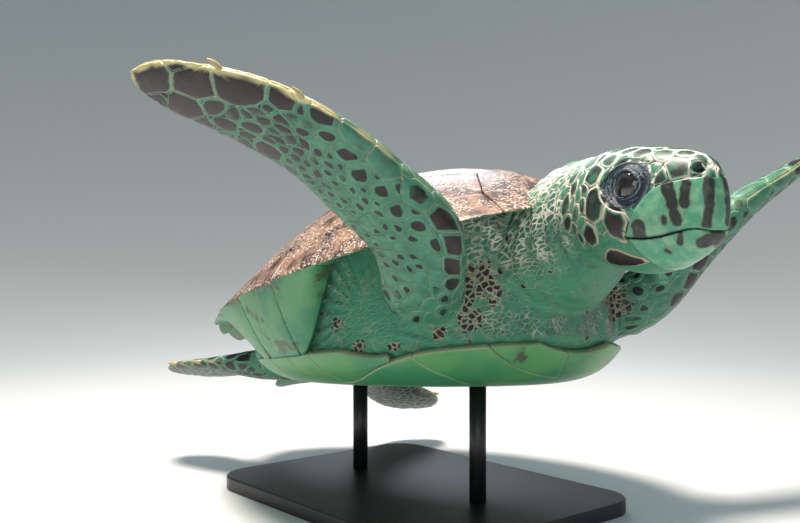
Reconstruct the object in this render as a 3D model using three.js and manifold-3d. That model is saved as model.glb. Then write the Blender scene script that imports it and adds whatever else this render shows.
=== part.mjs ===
import * as THREE from 'three';
import { mergeVertices } from 'three/addons/utils/BufferGeometryUtils.js';
import Module from 'manifold-3d';

// A hawksbill sea turtle, life size, swimming with its right front flipper swept up, on a display stand.
// Millimetres, +Z up. The animal is shaped in its own frame, in which +X is its left side, +Y points to
// the tail and +Z to the back, and the whole frame is then tipped nose-up over the stand.

const wasm = await Module();
wasm.setup();

const GAP = 0.3;
const FULL_TURN = 2 * Math.PI;

// Pose of the whole animal over its stand.
const NOSE_UP = 14;
const LEFT_SIDE_DOWN = 3.5;
const SHELL_CENTRE_HEIGHT = 232;

// Shell: the rim is an egg-shaped outline, full in front and drawn out behind.
const FRONT_LENGTH = 276;
const REAR_LENGTH = 306;
const HALF_WIDTH = 216;
const FRONT_FULLNESS = 0.1;
const REAR_TAPER = 0.25;
const FRONT_ARCH = 26;
const DOME_HEIGHT = 130;
const DOME_POWER = 1.95;
const DOME_REAR_DROP = 0.45;
const KEEL_HEIGHT = 4;
const KEEL_WIDTH = 26;
const BELLY_DEPTH = 100;
const BELLY_SLOPE = 0.17;
const BELLY_POWER = 7;
const SCUTE_THICKNESS = 5;
const SCUTE_OVERLAP_STEP = 2.5;
const SEAM = 0.6;
const LINING = 2.5;

// Scutes of the upper shell: five vertebrals, four costals a side, a nuchal and twelve marginals a side.
const RIM_START = 0.85;
const RIM_TRIM = 0.006;
const NUCHAL_HALF_ANGLE = 12;
const VERTEBRAL_SEAMS = [-158, -52, 56, 156];
const VERTEBRAL_SIDE_POINTS = [-105, 2, 106];
const VERTEBRAL_SEAM_HALF_WIDTH = 38;
const VERTEBRAL_SIDE_HALF_WIDTH = [84, 80, 70];
const RIM_MEETING_ANGLES = [26, 64, 93, 121, 154];
const MARGINALS = 12;
const STEPS_PER_MARGINAL = 3;
const MARGINAL_TOOTH = 0.03;
const RIM_EDGE_THICKNESS = 3;
const RIM_ROOT_THICKNESS = 20;
const BRIDGE_FRONT_ANGLES = [64, 82];
const BRIDGE_REAR_ANGLES = [98, 126];

// Lower shell.
const PLASTRON_FRONT = -226;
const PLASTRON_REAR = 196;
const PLASTRON_HALF_WIDTHS = [
  [-226, 44], [-207, 86], [-179, 121], [-147, 143], [-106, 152], [-60, 142], [0, 126], [78, 116], [130, 102],
  [170, 76], [196, 34],
];
const PLASTRON_THICKNESS = 6;
const BRIDGE_FRONT = -78;
const BRIDGE_REAR = 78;

// Head and neck.
const HEAD_LENGTH = 158;
const HEAD_PLACE = new THREE.Vector3(-46, -300, 18);
const HEAD_YAW_RIGHT = 17;
const HEAD_PITCH_DOWN = 20;
const EYE_RADIUS = 13;
const EYE_PLACE = new THREE.Vector3(29, -92, 14);
const SLIT = 0.4;

// Limbs.
const CLAW_LENGTH = 13;
const CLAW_RADIUS = 3.2;

// Stand.
const BASE_LENGTH = 400;
const BASE_WIDTH = 300;
const BASE_THICKNESS = 16;
const BASE_CORNER = 40;
const BASE_BEVEL = 2;
const ROD_RADIUS = 9;
const ROD_PLACES = { front: -100, rear: 105 };

const vec = (x, y, z) => new THREE.Vector3(x, y, z);
const rad = THREE.MathUtils.degToRad;
const lerp = THREE.MathUtils.lerp;
const smoothstep = THREE.MathUtils.smoothstep;

// Solids.

function signedVolume(geometry) {
  const p = geometry.attributes.position;
  const index = geometry.index;
  const a = vec(0, 0, 0);
  const b = vec(0, 0, 0);
  const c = vec(0, 0, 0);
  let sum = 0;
  for (let i = 0; i < index.count; i += 3) {
    a.fromBufferAttribute(p, index.getX(i));
    b.fromBufferAttribute(p, index.getX(i + 1));
    c.fromBufferAttribute(p, index.getX(i + 2));
    sum += a.dot(b.cross(c)) / 6;
  }
  return sum;
}

// Welds a geometry into one closed surface with its faces pointing out.
function closed(geometry) {
  geometry.deleteAttribute('normal');
  geometry.deleteAttribute('uv');
  const welded = mergeVertices(geometry, 1e-3);
  if (signedVolume(welded) < 0) {
    const order = welded.index.array;
    for (let i = 0; i < order.length; i += 3) {
      [order[i], order[i + 1]] = [order[i + 1], order[i]];
    }
  }
  return welded;
}

function toSolid(geometry) {
  return new wasm.Manifold(new wasm.Mesh({
    numProp: 3,
    vertProperties: new Float32Array(geometry.attributes.position.array),
    triVerts: new Uint32Array(geometry.index.array),
  }));
}

function toGeometry(solid) {
  const mesh = solid.getMesh();
  const geometry = new THREE.BufferGeometry();
  geometry.setAttribute('position', new THREE.BufferAttribute(mesh.vertProperties, 3));
  geometry.setIndex(new THREE.BufferAttribute(mesh.triVerts, 1));
  return geometry;
}

// The largest body that is left of a geometry once the others are cut away.
function carved(geometry, ...cutters) {
  let solid = toSolid(geometry);
  for (const cutter of cutters) {
    solid = solid.subtract(toSolid(cutter));
  }
  const bodies = solid.decompose().sort((a, b) => b.volume() - a.volume());
  return toGeometry(bodies[0]);
}

// A closed skin from pole to pole: at(t, turn) is the point t of the way along and turn round.
function lofted(around, along, at) {
  const geometry = new THREE.SphereGeometry(1, around, along);
  const { position, uv } = geometry.attributes;
  for (let i = 0; i < position.count; i++) {
    const point = at(1 - uv.getY(i), uv.getX(i) * FULL_TURN);
    position.setXYZ(i, point.x, point.y, point.z);
  }
  return closed(geometry);
}

// A curved plate: at(s, t, side) is the point s across and t along, on its top (1) or bottom (0).
function plate(across, along, at) {
  const geometry = new THREE.BoxGeometry(1, 1, 1, across, along, 1);
  const { position } = geometry.attributes;
  for (let i = 0; i < position.count; i++) {
    const point = at(position.getX(i) + 0.5, position.getY(i) + 0.5, position.getZ(i) + 0.5);
    position.setXYZ(i, point.x, point.y, point.z);
  }
  return closed(geometry);
}

// Smooth curve through [place, value] pairs.
function through(knots, t) {
  let i = 0;
  while (i < knots.length - 2 && t > knots[i + 1][0]) {
    i += 1;
  }
  const slope = (k) => {
    const before = knots[Math.max(k - 1, 0)];
    const after = knots[Math.min(k + 1, knots.length - 1)];
    return (after[1] - before[1]) / (after[0] - before[0]);
  };
  const span = knots[i + 1][0] - knots[i][0];
  const u = THREE.MathUtils.clamp((t - knots[i][0]) / span, 0, 1);
  const h = u * u * (3 - 2 * u);
  const rise = u * (1 - u) * (1 - u) * span * slope(i);
  const fall = u * u * (u - 1) * span * slope(i + 1);
  return lerp(knots[i][1], knots[i + 1][1], h) + rise + fall;
}

// Shell surfaces.

// A point on the rim outline scaled by r, at an angle from the front of the shell, in degrees.
function onOutline(angle, r = 1) {
  const c = Math.cos(rad(angle));
  const s = Math.sin(rad(angle));
  const power = 1 + REAR_TAPER * Math.max(0, -c);
  const length = c > 0 ? FRONT_LENGTH : REAR_LENGTH;
  const x = r * HALF_WIDTH * Math.sign(s) * Math.abs(s) ** power * (1 + FRONT_FULLNESS * c);
  return { x, y: -r * length * c };
}

// How far out a point lies: 0 in the middle of the shell and 1 on its rim.
function reach(x, y) {
  const length = y < 0 ? FRONT_LENGTH : REAR_LENGTH;
  let low = Math.abs(y) / length;
  let high = 2;
  for (let i = 0; i < 30; i++) {
    const r = (low + high) / 2;
    const angle = THREE.MathUtils.radToDeg(Math.acos(-y / (r * length)));
    if (onOutline(angle, r).x < Math.abs(x)) {
      low = r;
    } else {
      high = r;
    }
  }
  return (low + high) / 2;
}

function rimLift(y, r) {
  return FRONT_ARCH * Math.max(0, -y / (FRONT_LENGTH * Math.max(r, 0.01))) ** 3 * r * r;
}

function domeZ(x, y) {
  const r = reach(x, y);
  const keel = KEEL_HEIGHT * Math.exp(-((x / KEEL_WIDTH) ** 2)) * smoothstep(1 - r, 0.1, 0.4);
  const height = DOME_HEIGHT * (1 - DOME_REAR_DROP * smoothstep(y, -0.3 * FRONT_LENGTH, REAR_LENGTH));
  return rimLift(y, r) + height * (1 - r ** DOME_POWER) + keel;
}

function bellyZ(x, y) {
  const r = reach(x, y);
  return rimLift(y, r) * r ** 8 - (BELLY_DEPTH - BELLY_SLOPE * y) * (1 - r ** BELLY_POWER);
}

// The point of a height field raised along its normal, or sunk where the lift is negative.
function raised(field, x, y, lift) {
  const step = 0.5;
  const slopeX = (field(x + step, y) - field(x - step, y)) / (2 * step);
  const slopeY = (field(x, y + step) - field(x, y - step)) / (2 * step);
  return vec(-slopeX, -slopeY, 1).normalize().multiplyScalar(lift).add(vec(x, y, field(x, y)));
}

// Upper shell.

function scute(across, along, spot) {
  return plate(across, along, (s, t, side) => {
    const { x, y } = spot(s, t);
    return raised(domeZ, x, y, side ? SCUTE_OVERLAP_STEP * t : -SCUTE_THICKNESS);
  });
}

// The first and last vertebrals fan out to meet the rim, and the others are six-sided.
function vertebral(number) {
  const seamPoint = (across, seam, shift) => ({
    x: across * (VERTEBRAL_SEAM_HALF_WIDTH - SEAM),
    y: VERTEBRAL_SEAMS[seam] + shift,
  });
  return scute(4, 4, (s, t) => {
    const across = 2 * s - 1;
    if (number === 0 || number === 4) {
      const seam = number === 0 ? seamPoint(across, 0, -SEAM) : seamPoint(across, 3, SEAM);
      const rimAngle = number === 0 ? RIM_MEETING_ANGLES[0] : 180 - RIM_MEETING_ANGLES[4];
      const spread = across * (rimAngle - 0.5);
      const rim = onOutline(number === 0 ? spread : 180 - spread, RIM_START - RIM_TRIM);
      const share = number === 0 ? 1 - t : t;
      return { x: lerp(seam.x, rim.x, share), y: lerp(seam.y, rim.y, share) };
    }
    const side = VERTEBRAL_SIDE_HALF_WIDTH[number - 1];
    const half = lerp(VERTEBRAL_SEAM_HALF_WIDTH, side, 1 - Math.abs(2 * t - 1)) - SEAM;
    const middle = VERTEBRAL_SIDE_POINTS[number - 1];
    const front = VERTEBRAL_SEAMS[number - 1] + SEAM;
    const rear = VERTEBRAL_SEAMS[number] - SEAM;
    const y = t < 0.5 ? lerp(front, middle, 2 * t) : lerp(middle, rear, 2 * t - 1);
    return { x: across * half, y };
  });
}

// Where the costals meet the vertebrals: side points and seam corners by turns, from front to rear.
function vertebralBorder() {
  const frontSide = onOutline(RIM_MEETING_ANGLES[0], RIM_START);
  const rearSide = onOutline(RIM_MEETING_ANGLES[4], RIM_START);
  const border = [frontSide];
  VERTEBRAL_SEAMS.forEach((y, i) => {
    border.push({ x: VERTEBRAL_SEAM_HALF_WIDTH, y });
    if (i < 3) {
      border.push({ x: VERTEBRAL_SIDE_HALF_WIDTH[i], y: VERTEBRAL_SIDE_POINTS[i] });
    }
  });
  border.push(rearSide);
  return border;
}

function costal(number, sign) {
  const border = vertebralBorder().slice(2 * number, 2 * number + 3);
  const angles = RIM_MEETING_ANGLES.slice(number, number + 2);
  const trim = 0.018;
  return scute(4, 4, (s, t) => {
    const along = lerp(trim, 1 - trim, t);
    const across = lerp(trim, 1 - trim, s);
    const part = along < 0.5 ? 0 : 1;
    const u = 2 * along - part;
    const inner = {
      x: lerp(border[part].x, border[part + 1].x, u),
      y: lerp(border[part].y, border[part + 1].y, u),
    };
    const outer = onOutline(lerp(angles[0], angles[1], along), RIM_START);
    return { x: sign * lerp(inner.x, outer.x, across), y: lerp(inner.y, outer.y, across) };
  });
}

// How much of the bridge between the two shells stands at this angle, from 0 to 1.
function bridgeAt(angle) {
  const front = smoothstep(angle, ...BRIDGE_FRONT_ANGLES);
  const rear = smoothstep(angle, ...BRIDGE_REAR_ANGLES);
  return front * (1 - rear);
}

// The rim: a wedge whose lower face is the belly's flank at the bridge and a thin lip elsewhere. The saw
// goes from 0 at the front of each scute to 1 near its rear, where the scute stands out as a tooth.
function rimPoint(angle, saw, t, side, sign, grow) {
  const tooth = MARGINAL_TOOTH * smoothstep(Math.abs(angle), 60, 150);
  const outer = 1 + tooth * (saw - 0.5);
  const margin = grow / HALF_WIDTH;
  const r = lerp(RIM_START + RIM_TRIM / 2 - margin, outer + margin, t);
  const { x, y } = onOutline(angle, r);
  const level = onOutline(angle, Math.min(r, 1));
  const top = domeZ(level.x, level.y);
  if (side) {
    return vec(sign * x, y, top + SCUTE_OVERLAP_STEP * saw * (1 - t) + grow);
  }
  const lip = lerp(RIM_ROOT_THICKNESS, RIM_EDGE_THICKNESS, t);
  const flank = top - bellyZ(level.x, level.y) + RIM_EDGE_THICKNESS;
  return vec(sign * x, y, top - lerp(lip, flank, bridgeAt(Math.abs(angle))) - grow);
}

function marginals(sign, grow = 0) {
  const steps = MARGINALS * STEPS_PER_MARGINAL;
  return plate(steps, 2, (s, t, side) => {
    const angle = lerp(NUCHAL_HALF_ANGLE + 0.15 - grow, 180 - 0.15 + grow, s);
    const saw = (Math.round(s * steps) % STEPS_PER_MARGINAL) / (STEPS_PER_MARGINAL - 1);
    return rimPoint(angle, saw, t, side, sign, grow);
  });
}

function nuchal(grow = 0) {
  const half = NUCHAL_HALF_ANGLE - 0.15;
  return plate(6, 2, (s, t, side) => rimPoint(lerp(-half, half, s), 0, t, side, 1, grow));
}

// Lower shell.

// Half-width of the plastron along its length, broad in front and drawn in behind.
function plastronHalfWidth(y) {
  return through(PLASTRON_HALF_WIDTHS, y);
}

function plastron(grow = 0) {
  const trim = 3;
  return plate(8, 14, (s, t, side) => {
    const y = lerp(PLASTRON_FRONT + trim - grow, PLASTRON_REAR - trim + grow, t);
    const x = (2 * s - 1) * (plastronHalfWidth(y) + grow);
    return raised(bellyZ, x, y, side ? PLASTRON_THICKNESS + grow : -grow);
  });
}

function bridge(sign, grow = 0) {
  return plate(3, 6, (s, t, side) => {
    const y = lerp(BRIDGE_FRONT - grow, BRIDGE_REAR + grow, t);
    const inner = plastronHalfWidth(y) + 2 * SEAM - grow;
    const angle = THREE.MathUtils.radToDeg(Math.acos(-y / (RIM_START * (y < 0 ? FRONT_LENGTH : REAR_LENGTH))));
    const outer = onOutline(angle, RIM_START).x - SEAM + grow;
    const x = lerp(inner, outer, s);
    return raised(bellyZ, sign * x, y, side ? PLASTRON_THICKNESS + grow : -grow);
  });
}

// Flesh.

// The trunk fills the shell, and bulges out of it a little at the armpits and groins.
function trunk(grow = 0) {
  const edge = RIM_START - 0.012;
  const lidShare = 0.42;
  return lofted(36, 10, (t, turn) => {
    const angle = THREE.MathUtils.radToDeg(turn);
    const folded = angle > 180 ? angle - 360 : angle;
    const lid = Math.min(t, 1 - t) / lidShare;
    const r = edge * Math.min(1, lid);
    const spot = onOutline(folded, r);
    const top = raised(domeZ, spot.x, spot.y, grow - SCUTE_THICKNESS - LINING);
    const bottom = raised(bellyZ, spot.x, spot.y, PLASTRON_THICKNESS + LINING - grow);
    const wall = smoothstep(t, lidShare, 1 - lidShare);
    return top.lerp(bottom, wall);
  });
}

// A round-ended body along a curve. size(t) gives half-widths across and through, and side(t) the
// direction across.
function bodyAlong(points, around, along, side, size) {
  const spine = new THREE.CatmullRomCurve3(points);
  return lofted(around, along, (t, turn) => {
    const centre = spine.getPoint(t);
    const tangent = spine.getTangent(t);
    const across = side(t).clone();
    across.addScaledVector(tangent, -across.dot(tangent)).normalize();
    const upwards = vec(0, 0, 0).crossVectors(tangent, across);
    const { lead, trail, up, down } = size(t);
    const c = Math.cos(turn);
    const s = Math.sin(turn);
    centre.addScaledVector(across, c * (c > 0 ? lead : trail));
    return centre.addScaledVector(upwards, s * (s > 0 ? up : down));
  });
}

// Roundness of the two ends: 0 at the poles and 1 from the given share of the length inwards.
function roundEnd(t, start, end) {
  const near = Math.min(1, t / start);
  const far = Math.min(1, (1 - t) / end);
  return Math.sqrt(1 - (1 - near) ** 2) * Math.sqrt(1 - (1 - far) ** 2);
}

const NECK_POINTS = [vec(0, -150, -30), vec(-6, -215, -12), vec(-28, -275, 10), vec(-54, -338, 4)];

function neck(grow = 0) {
  return bodyAlong(NECK_POINTS, 20, 10, () => vec(1, 0, 0), (t) => {
    const end = roundEnd(t, 0.15, 0.12);
    const half = end * (through([[0, 78], [0.4, 70], [0.7, 53], [1, 42]], t) + grow);
    const tall = end * (through([[0, 50], [0.4, 54], [0.7, 50], [1, 42]], t) + grow);
    return { lead: half, trail: half, up: tall, down: tall };
  });
}

function tail(grow = 0) {
  const points = [vec(0, 215, -48), vec(0, 265, -52), vec(0, 318, -58)];
  return bodyAlong(points, 12, 6, () => vec(1, 0, 0), (t) => {
    const end = roundEnd(t, 0.2, 0.15);
    const half = end * (lerp(26, 5, t) + grow);
    const tall = end * (lerp(20, 4, t) + grow);
    return { lead: half, trail: half, up: tall, down: tall };
  });
}

// A flipper: a thick upper arm or thigh that flattens into a blade. The edges are half-widths ahead of
// and behind its middle line, and depth is half its thickness.
function flipper(limb, grow = 0) {
  return bodyAlong(limb.line, 14, limb.steps, limb.ahead, (t) => {
    const end = roundEnd(t, 0.1, limb.tipShare);
    const depth = end * (through(limb.depth, t) + grow);
    return {
      lead: end * (through(limb.lead, t) + grow),
      trail: end * (through(limb.trail, t) + grow),
      up: depth,
      down: depth,
    };
  });
}

// A direction that turns smoothly from one to another along a limb.
function turning(from, to) {
  return (t) => from.clone().lerp(to, smoothstep(t, 0.1, 0.6)).normalize();
}

const FRONT_FLIPPER = {
  lead: [[0, 34], [0.18, 34], [0.34, 29], [0.5, 39], [0.68, 42], [0.85, 29], [1, 15]],
  trail: [[0, 34], [0.18, 43], [0.34, 50], [0.5, 47], [0.68, 42], [0.85, 34], [1, 22]],
  depth: [[0, 32], [0.18, 30], [0.34, 22], [0.5, 13], [0.68, 8], [0.85, 5.5], [1, 4]],
  tipShare: 0.1,
  steps: 18,
};

const HIND_FLIPPER = {
  lead: [[0, 26], [0.3, 26], [0.55, 34], [0.8, 38], [1, 26]],
  trail: [[0, 26], [0.3, 28], [0.55, 40], [0.8, 46], [1, 30]],
  depth: [[0, 26], [0.3, 18], [0.55, 9], [0.8, 5], [1, 3.5]],
  tipShare: 0.16,
  steps: 12,
};

const LIMBS = {
  front_flipper_right: {
    ...FRONT_FLIPPER,
    line: [
      vec(-112, -140, -42), vec(-150, -190, -30), vec(-188, -233, 1), vec(-243, -235, 35),
      vec(-290, -230, 61), vec(-330, -211, 86), vec(-365, -183, 109), vec(-396, -143, 132),
    ],
    ahead: turning(vec(0.4, -0.8, 0.3), vec(-0.2, -0.96, 0.18)),
  },
  front_flipper_left: {
    ...FRONT_FLIPPER,
    line: [
      vec(105, -145, -50), vec(142, -198, -42), vec(190, -242, 6), vec(248, -272, 48),
      vec(300, -293, 76), vec(345, -303, 99), vec(388, -304, 122), vec(426, -296, 147),
    ],
    ahead: turning(vec(-0.4, -0.8, 0.3), vec(-0.56, -0.8, 0.08)),
  },
  hind_flipper_right: {
    ...HIND_FLIPPER,
    line: [vec(-60, 160, -48), vec(-88, 215, -44), vec(-105, 290, -36), vec(-122, 378, -28)],
    ahead: () => vec(-1, 0, 0.2),
  },
  hind_flipper_left: {
    ...HIND_FLIPPER,
    line: [vec(60, 160, -48), vec(95, 212, -62), vec(158, 244, -84), vec(238, 268, -104)],
    ahead: () => vec(0.6, -0.7, 0),
  },
};

// Claws stand on the front edge of a flipper, the given share of the way to its tip, and point outwards.
const CLAW_SHARES = { front: [0.62, 0.78], hind: [0.62, 0.8] };

function claw(limb, share) {
  const spine = new THREE.CatmullRomCurve3(limb.line);
  const tangent = spine.getTangent(share);
  const ahead = limb.ahead(share).clone();
  ahead.addScaledVector(tangent, -ahead.dot(tangent)).normalize();
  const root = spine.getPoint(share).addScaledVector(ahead, through(limb.lead, share) - 3);
  const tip = root.clone().addScaledVector(ahead, CLAW_LENGTH).addScaledVector(tangent, CLAW_LENGTH * 0.7);
  const middle = root.clone().lerp(tip, 0.55).addScaledVector(ahead, 1.5);
  return bodyAlong([root, middle, tip], 8, 5, () => vec(0, 0, 1), (t) => {
    const end = roundEnd(t, 0.3, 0.2);
    const half = end * lerp(CLAW_RADIUS, 1, t);
    return { lead: half * 0.8, trail: half * 0.8, up: half, down: half };
  });
}

// Head.

// Profiles along the head, from the back of the skull (0) to the tip of the beak (1).
const HEAD_HALF_WIDTH = [
  [0, 26], [0.1, 36], [0.28, 44], [0.48, 44], [0.62, 38], [0.76, 29], [0.9, 19], [1, 11],
];
const HEAD_TOP = [[0, 23], [0.1, 35], [0.28, 44], [0.48, 45], [0.62, 44], [0.76, 42], [0.9, 36], [1, 18]];
const HEAD_BOTTOM = [
  [0, -28], [0.1, -42], [0.28, -52], [0.48, -55], [0.62, -53], [0.76, -45], [0.9, -33], [1, -22],
];

// Seams of the horny beak, as seen from the side: share of the head's length, and height.
const UPPER_BEAK_SEAM = [
  [1.2, 26], [0.9, 24], [0.76, 16], [0.67, 0], [0.62, -25], [0.71, -24], [0.82, -18], [0.92, -13], [1.2, -11],
];
const LOWER_BEAK_SEAM = [[0.63, -25], [0.68, -38], [0.74, -70]];

function headShape(grow = 0) {
  return lofted(24, 16, (t, turn) => {
    const end = roundEnd(t, 0.08, 0.04);
    const c = Math.cos(turn);
    const s = Math.sin(turn);
    const half = (through(HEAD_HALF_WIDTH, t) + grow) * end;
    const top = through(HEAD_TOP, t) + grow;
    const bottom = through(HEAD_BOTTOM, t) - grow;
    const middle = lerp(-2, -8, t);
    const height = s > 0 ? (top - middle) * end : (middle - bottom) * end;
    const x = half * Math.sign(c) * Math.abs(c) ** 0.9;
    return vec(x, -HEAD_LENGTH * t, middle + height * Math.sign(s) * Math.abs(s) ** 0.9);
  });
}

// A thin sheet through the whole head along a seam, to part the beak from the rest.
function seamSheet(seam) {
  const points = seam.map(([share, z]) => new THREE.Vector2(-HEAD_LENGTH * share, z));
  const steps = 14;
  const line = new THREE.SplineCurve(points).getPoints(steps);
  const normals = line.map((point, i) => {
    const along = line[Math.min(i + 1, steps)].clone().sub(line[Math.max(i - 1, 0)]).normalize();
    return new THREE.Vector2(-along.y, along.x).multiplyScalar(SLIT / 2);
  });
  const ahead = line.map((point, i) => point.clone().add(normals[i]));
  const behind = line.map((point, i) => point.clone().sub(normals[i])).reverse();
  const shape = new THREE.Shape([...ahead, ...behind]);
  const width = 160;
  const geometry = new THREE.ExtrudeGeometry(shape, { depth: width, bevelEnabled: false });
  // The outline's own two axes become the head's length and height, and its depth the head's width.
  geometry.applyMatrix4(new THREE.Matrix4().makeBasis(vec(0, 1, 0), vec(0, 0, 1), vec(1, 0, 0)));
  geometry.translate(-width / 2, 0, 0);
  return closed(geometry);
}

function partedHead(...cutters) {
  let solid = toSolid(headShape());
  for (const cutter of [...cutters, seamSheet(UPPER_BEAK_SEAM), seamSheet(LOWER_BEAK_SEAM)]) {
    solid = solid.subtract(toSolid(cutter));
  }
  const bodies = solid.decompose().sort((a, b) => b.volume() - a.volume());
  const [skull, ...beak] = bodies.slice(0, 3);
  beak.sort((a, b) => b.boundingBox().max[2] - a.boundingBox().max[2]);
  return { skull: toGeometry(skull), upper: toGeometry(beak[0]), lower: toGeometry(beak[1]) };
}

function eyeball(sign, grow = 0) {
  const geometry = new THREE.SphereGeometry(EYE_RADIUS + grow, 14, 8);
  geometry.translate(sign * EYE_PLACE.x, EYE_PLACE.y, EYE_PLACE.z);
  return closed(geometry);
}

// Stand.

function standBase() {
  const shape = new THREE.Shape();
  const x = BASE_WIDTH / 2 - BASE_CORNER;
  const y = BASE_LENGTH / 2 - BASE_CORNER;
  shape.absarc(x, y, BASE_CORNER, 0, Math.PI / 2);
  shape.absarc(-x, y, BASE_CORNER, Math.PI / 2, Math.PI);
  shape.absarc(-x, -y, BASE_CORNER, Math.PI, 1.5 * Math.PI);
  shape.absarc(x, -y, BASE_CORNER, 1.5 * Math.PI, 2 * Math.PI);
  const geometry = new THREE.ExtrudeGeometry(shape, {
    depth: BASE_THICKNESS - 2 * BASE_BEVEL,
    bevelThickness: BASE_BEVEL,
    bevelSize: BASE_BEVEL,
    bevelOffset: -BASE_BEVEL,
    bevelSegments: 1,
    curveSegments: 4,
  });
  geometry.translate(0, 0, BASE_BEVEL);
  return closed(geometry);
}

// A rod from the base up to the lower shell, cut to fit under it.
function standRod(y, shellInPlace) {
  const top = SHELL_CENTRE_HEIGHT;
  const bottom = BASE_THICKNESS + GAP;
  const geometry = new THREE.CylinderGeometry(ROD_RADIUS, ROD_RADIUS, top - bottom, 24);
  geometry.rotateX(Math.PI / 2);
  geometry.translate(0, y, (top + bottom) / 2);
  const pieces = toSolid(closed(geometry)).subtract(toSolid(shellInPlace)).decompose();
  pieces.sort((a, b) => a.boundingBox().min[2] - b.boundingBox().min[2]);
  return toGeometry(pieces[0]);
}

// Assembly.

function standardMaterial(color, roughness, metalness = 0) {
  return new THREE.MeshStandardMaterial({ color, roughness, metalness });
}

const PALETTE = {
  scute: [0x6a4a2c, 0.35],
  rim: [0x7a5a34, 0.4],
  belly: [0xd9cf95, 0.5],
  skin: [0x9fb59a, 0.65],
  horn: [0xa98f5e, 0.4],
  eye: [0x0f0d0c, 0.1],
  claw: [0x8c7448, 0.4],
  stand: [0x2b2b2d, 0.45],
};

function addPiece(group, name, geometry, finish) {
  geometry.computeVertexNormals();
  const mesh = new THREE.Mesh(geometry, standardMaterial(...PALETTE[finish]));
  mesh.name = name;
  group.add(mesh);
  return mesh;
}

const turtle = new THREE.Group();
turtle.rotation.set(-rad(NOSE_UP), rad(LEFT_SIDE_DOWN), 0, 'XYZ');
turtle.position.z = SHELL_CENTRE_HEIGHT;

for (let i = 0; i < 5; i++) {
  addPiece(turtle, `shell_vertebral_${i + 1}`, vertebral(i), 'scute');
}
for (const [side, sign] of [['left', 1], ['right', -1]]) {
  for (let i = 0; i < 4; i++) {
    const scale = carved(costal(i, sign), marginals(sign, GAP));
    addPiece(turtle, `shell_costal_${side}_${i + 1}`, scale, 'scute');
  }
  addPiece(turtle, `shell_marginals_${side}`, marginals(sign), 'rim');
  addPiece(turtle, `bridge_${side}`, bridge(sign), 'belly');
}
addPiece(turtle, 'shell_nuchal', nuchal(), 'rim');
addPiece(turtle, 'plastron', plastron(), 'belly');
addPiece(turtle, 'trunk', trunk(), 'skin');

const shellClearance = [
  marginals(1, GAP), marginals(-1, GAP), nuchal(GAP), plastron(GAP), bridge(1, GAP), bridge(-1, GAP),
];
const trunkClearance = trunk(GAP);
addPiece(turtle, 'neck', carved(neck(), trunkClearance, ...shellClearance), 'skin');
addPiece(turtle, 'tail', carved(tail(), trunkClearance, ...shellClearance), 'skin');

const neckClearance = neck(GAP);
const tailClearance = tail(GAP);
for (const [name, limb] of Object.entries(LIMBS)) {
  const front = name.startsWith('front');
  const root = front ? neckClearance : tailClearance;
  const claws = CLAW_SHARES[front ? 'front' : 'hind'].map((share) => claw(limb, share));
  const body = carved(flipper(limb), trunkClearance, root, ...shellClearance);
  addPiece(turtle, name, body, 'skin');
  const blade = flipper(limb, GAP);
  claws.forEach((shape, i) => {
    addPiece(turtle, name.replace('flipper', `claw_${i + 1}`), carved(shape, blade), 'claw');
  });
}

const head = new THREE.Group();
head.position.copy(HEAD_PLACE);
head.rotation.set(rad(HEAD_PITCH_DOWN), 0, -rad(HEAD_YAW_RIGHT), 'ZYX');
turtle.add(head);
head.updateMatrix();
const intoHead = head.matrix.clone().invert();
const neckAtHead = neckClearance.clone().applyMatrix4(intoHead);
const { skull, upper, lower } = partedHead(neckAtHead, eyeball(1, GAP), eyeball(-1, GAP));
addPiece(head, 'head', skull, 'skin');
addPiece(head, 'beak_upper', upper, 'horn');
addPiece(head, 'beak_lower', lower, 'horn');
addPiece(head, 'eye_left', eyeball(1), 'eye');
addPiece(head, 'eye_right', eyeball(-1), 'eye');

turtle.updateMatrix();
const stand = new THREE.Group();
addPiece(stand, 'stand_base', standBase(), 'stand');
const plastronInPlace = plastron(GAP).applyMatrix4(turtle.matrix);
for (const [name, y] of Object.entries(ROD_PLACES)) {
  addPiece(stand, `stand_rod_${name}`, standRod(y, plastronInPlace), 'stand');
}

// The origin is on the floor, under the middle of the whole model.
const model = new THREE.Group();
model.add(turtle, stand);
const bounds = new THREE.Box3().setFromObject(model, true);
model.position.set(-(bounds.min.x + bounds.max.x) / 2, -(bounds.min.y + bounds.max.y) / 2, -bounds.min.z);

const part = new THREE.Group();
part.add(model);

export default part;
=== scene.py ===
import math
import random
from functools import partial

import bmesh
import bpy
import numpy as np
from mathutils import Matrix, Vector, noise
from mathutils.bvhtree import BVHTree


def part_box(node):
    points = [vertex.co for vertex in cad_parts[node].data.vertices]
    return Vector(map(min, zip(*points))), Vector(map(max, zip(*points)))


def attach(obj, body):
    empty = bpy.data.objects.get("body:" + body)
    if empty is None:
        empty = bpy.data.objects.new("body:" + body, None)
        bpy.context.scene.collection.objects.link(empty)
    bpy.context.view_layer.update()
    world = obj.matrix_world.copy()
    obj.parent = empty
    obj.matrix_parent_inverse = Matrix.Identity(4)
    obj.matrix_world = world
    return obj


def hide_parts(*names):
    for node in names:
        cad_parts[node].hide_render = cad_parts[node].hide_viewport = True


# A hawksbill sea turtle on a display stand. The animal is shaped in millimetres in its own frame, in which
# +X is its left side, +Y points to the tail and +Z to the back, and is then set over the stand.

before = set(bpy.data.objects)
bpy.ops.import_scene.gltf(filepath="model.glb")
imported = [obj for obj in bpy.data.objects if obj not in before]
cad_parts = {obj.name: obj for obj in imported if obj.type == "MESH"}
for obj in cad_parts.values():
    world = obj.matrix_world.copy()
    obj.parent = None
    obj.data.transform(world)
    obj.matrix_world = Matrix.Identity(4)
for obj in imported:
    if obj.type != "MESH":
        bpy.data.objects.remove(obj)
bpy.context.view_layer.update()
print("frame loaded:", len(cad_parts), "solids")

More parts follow.
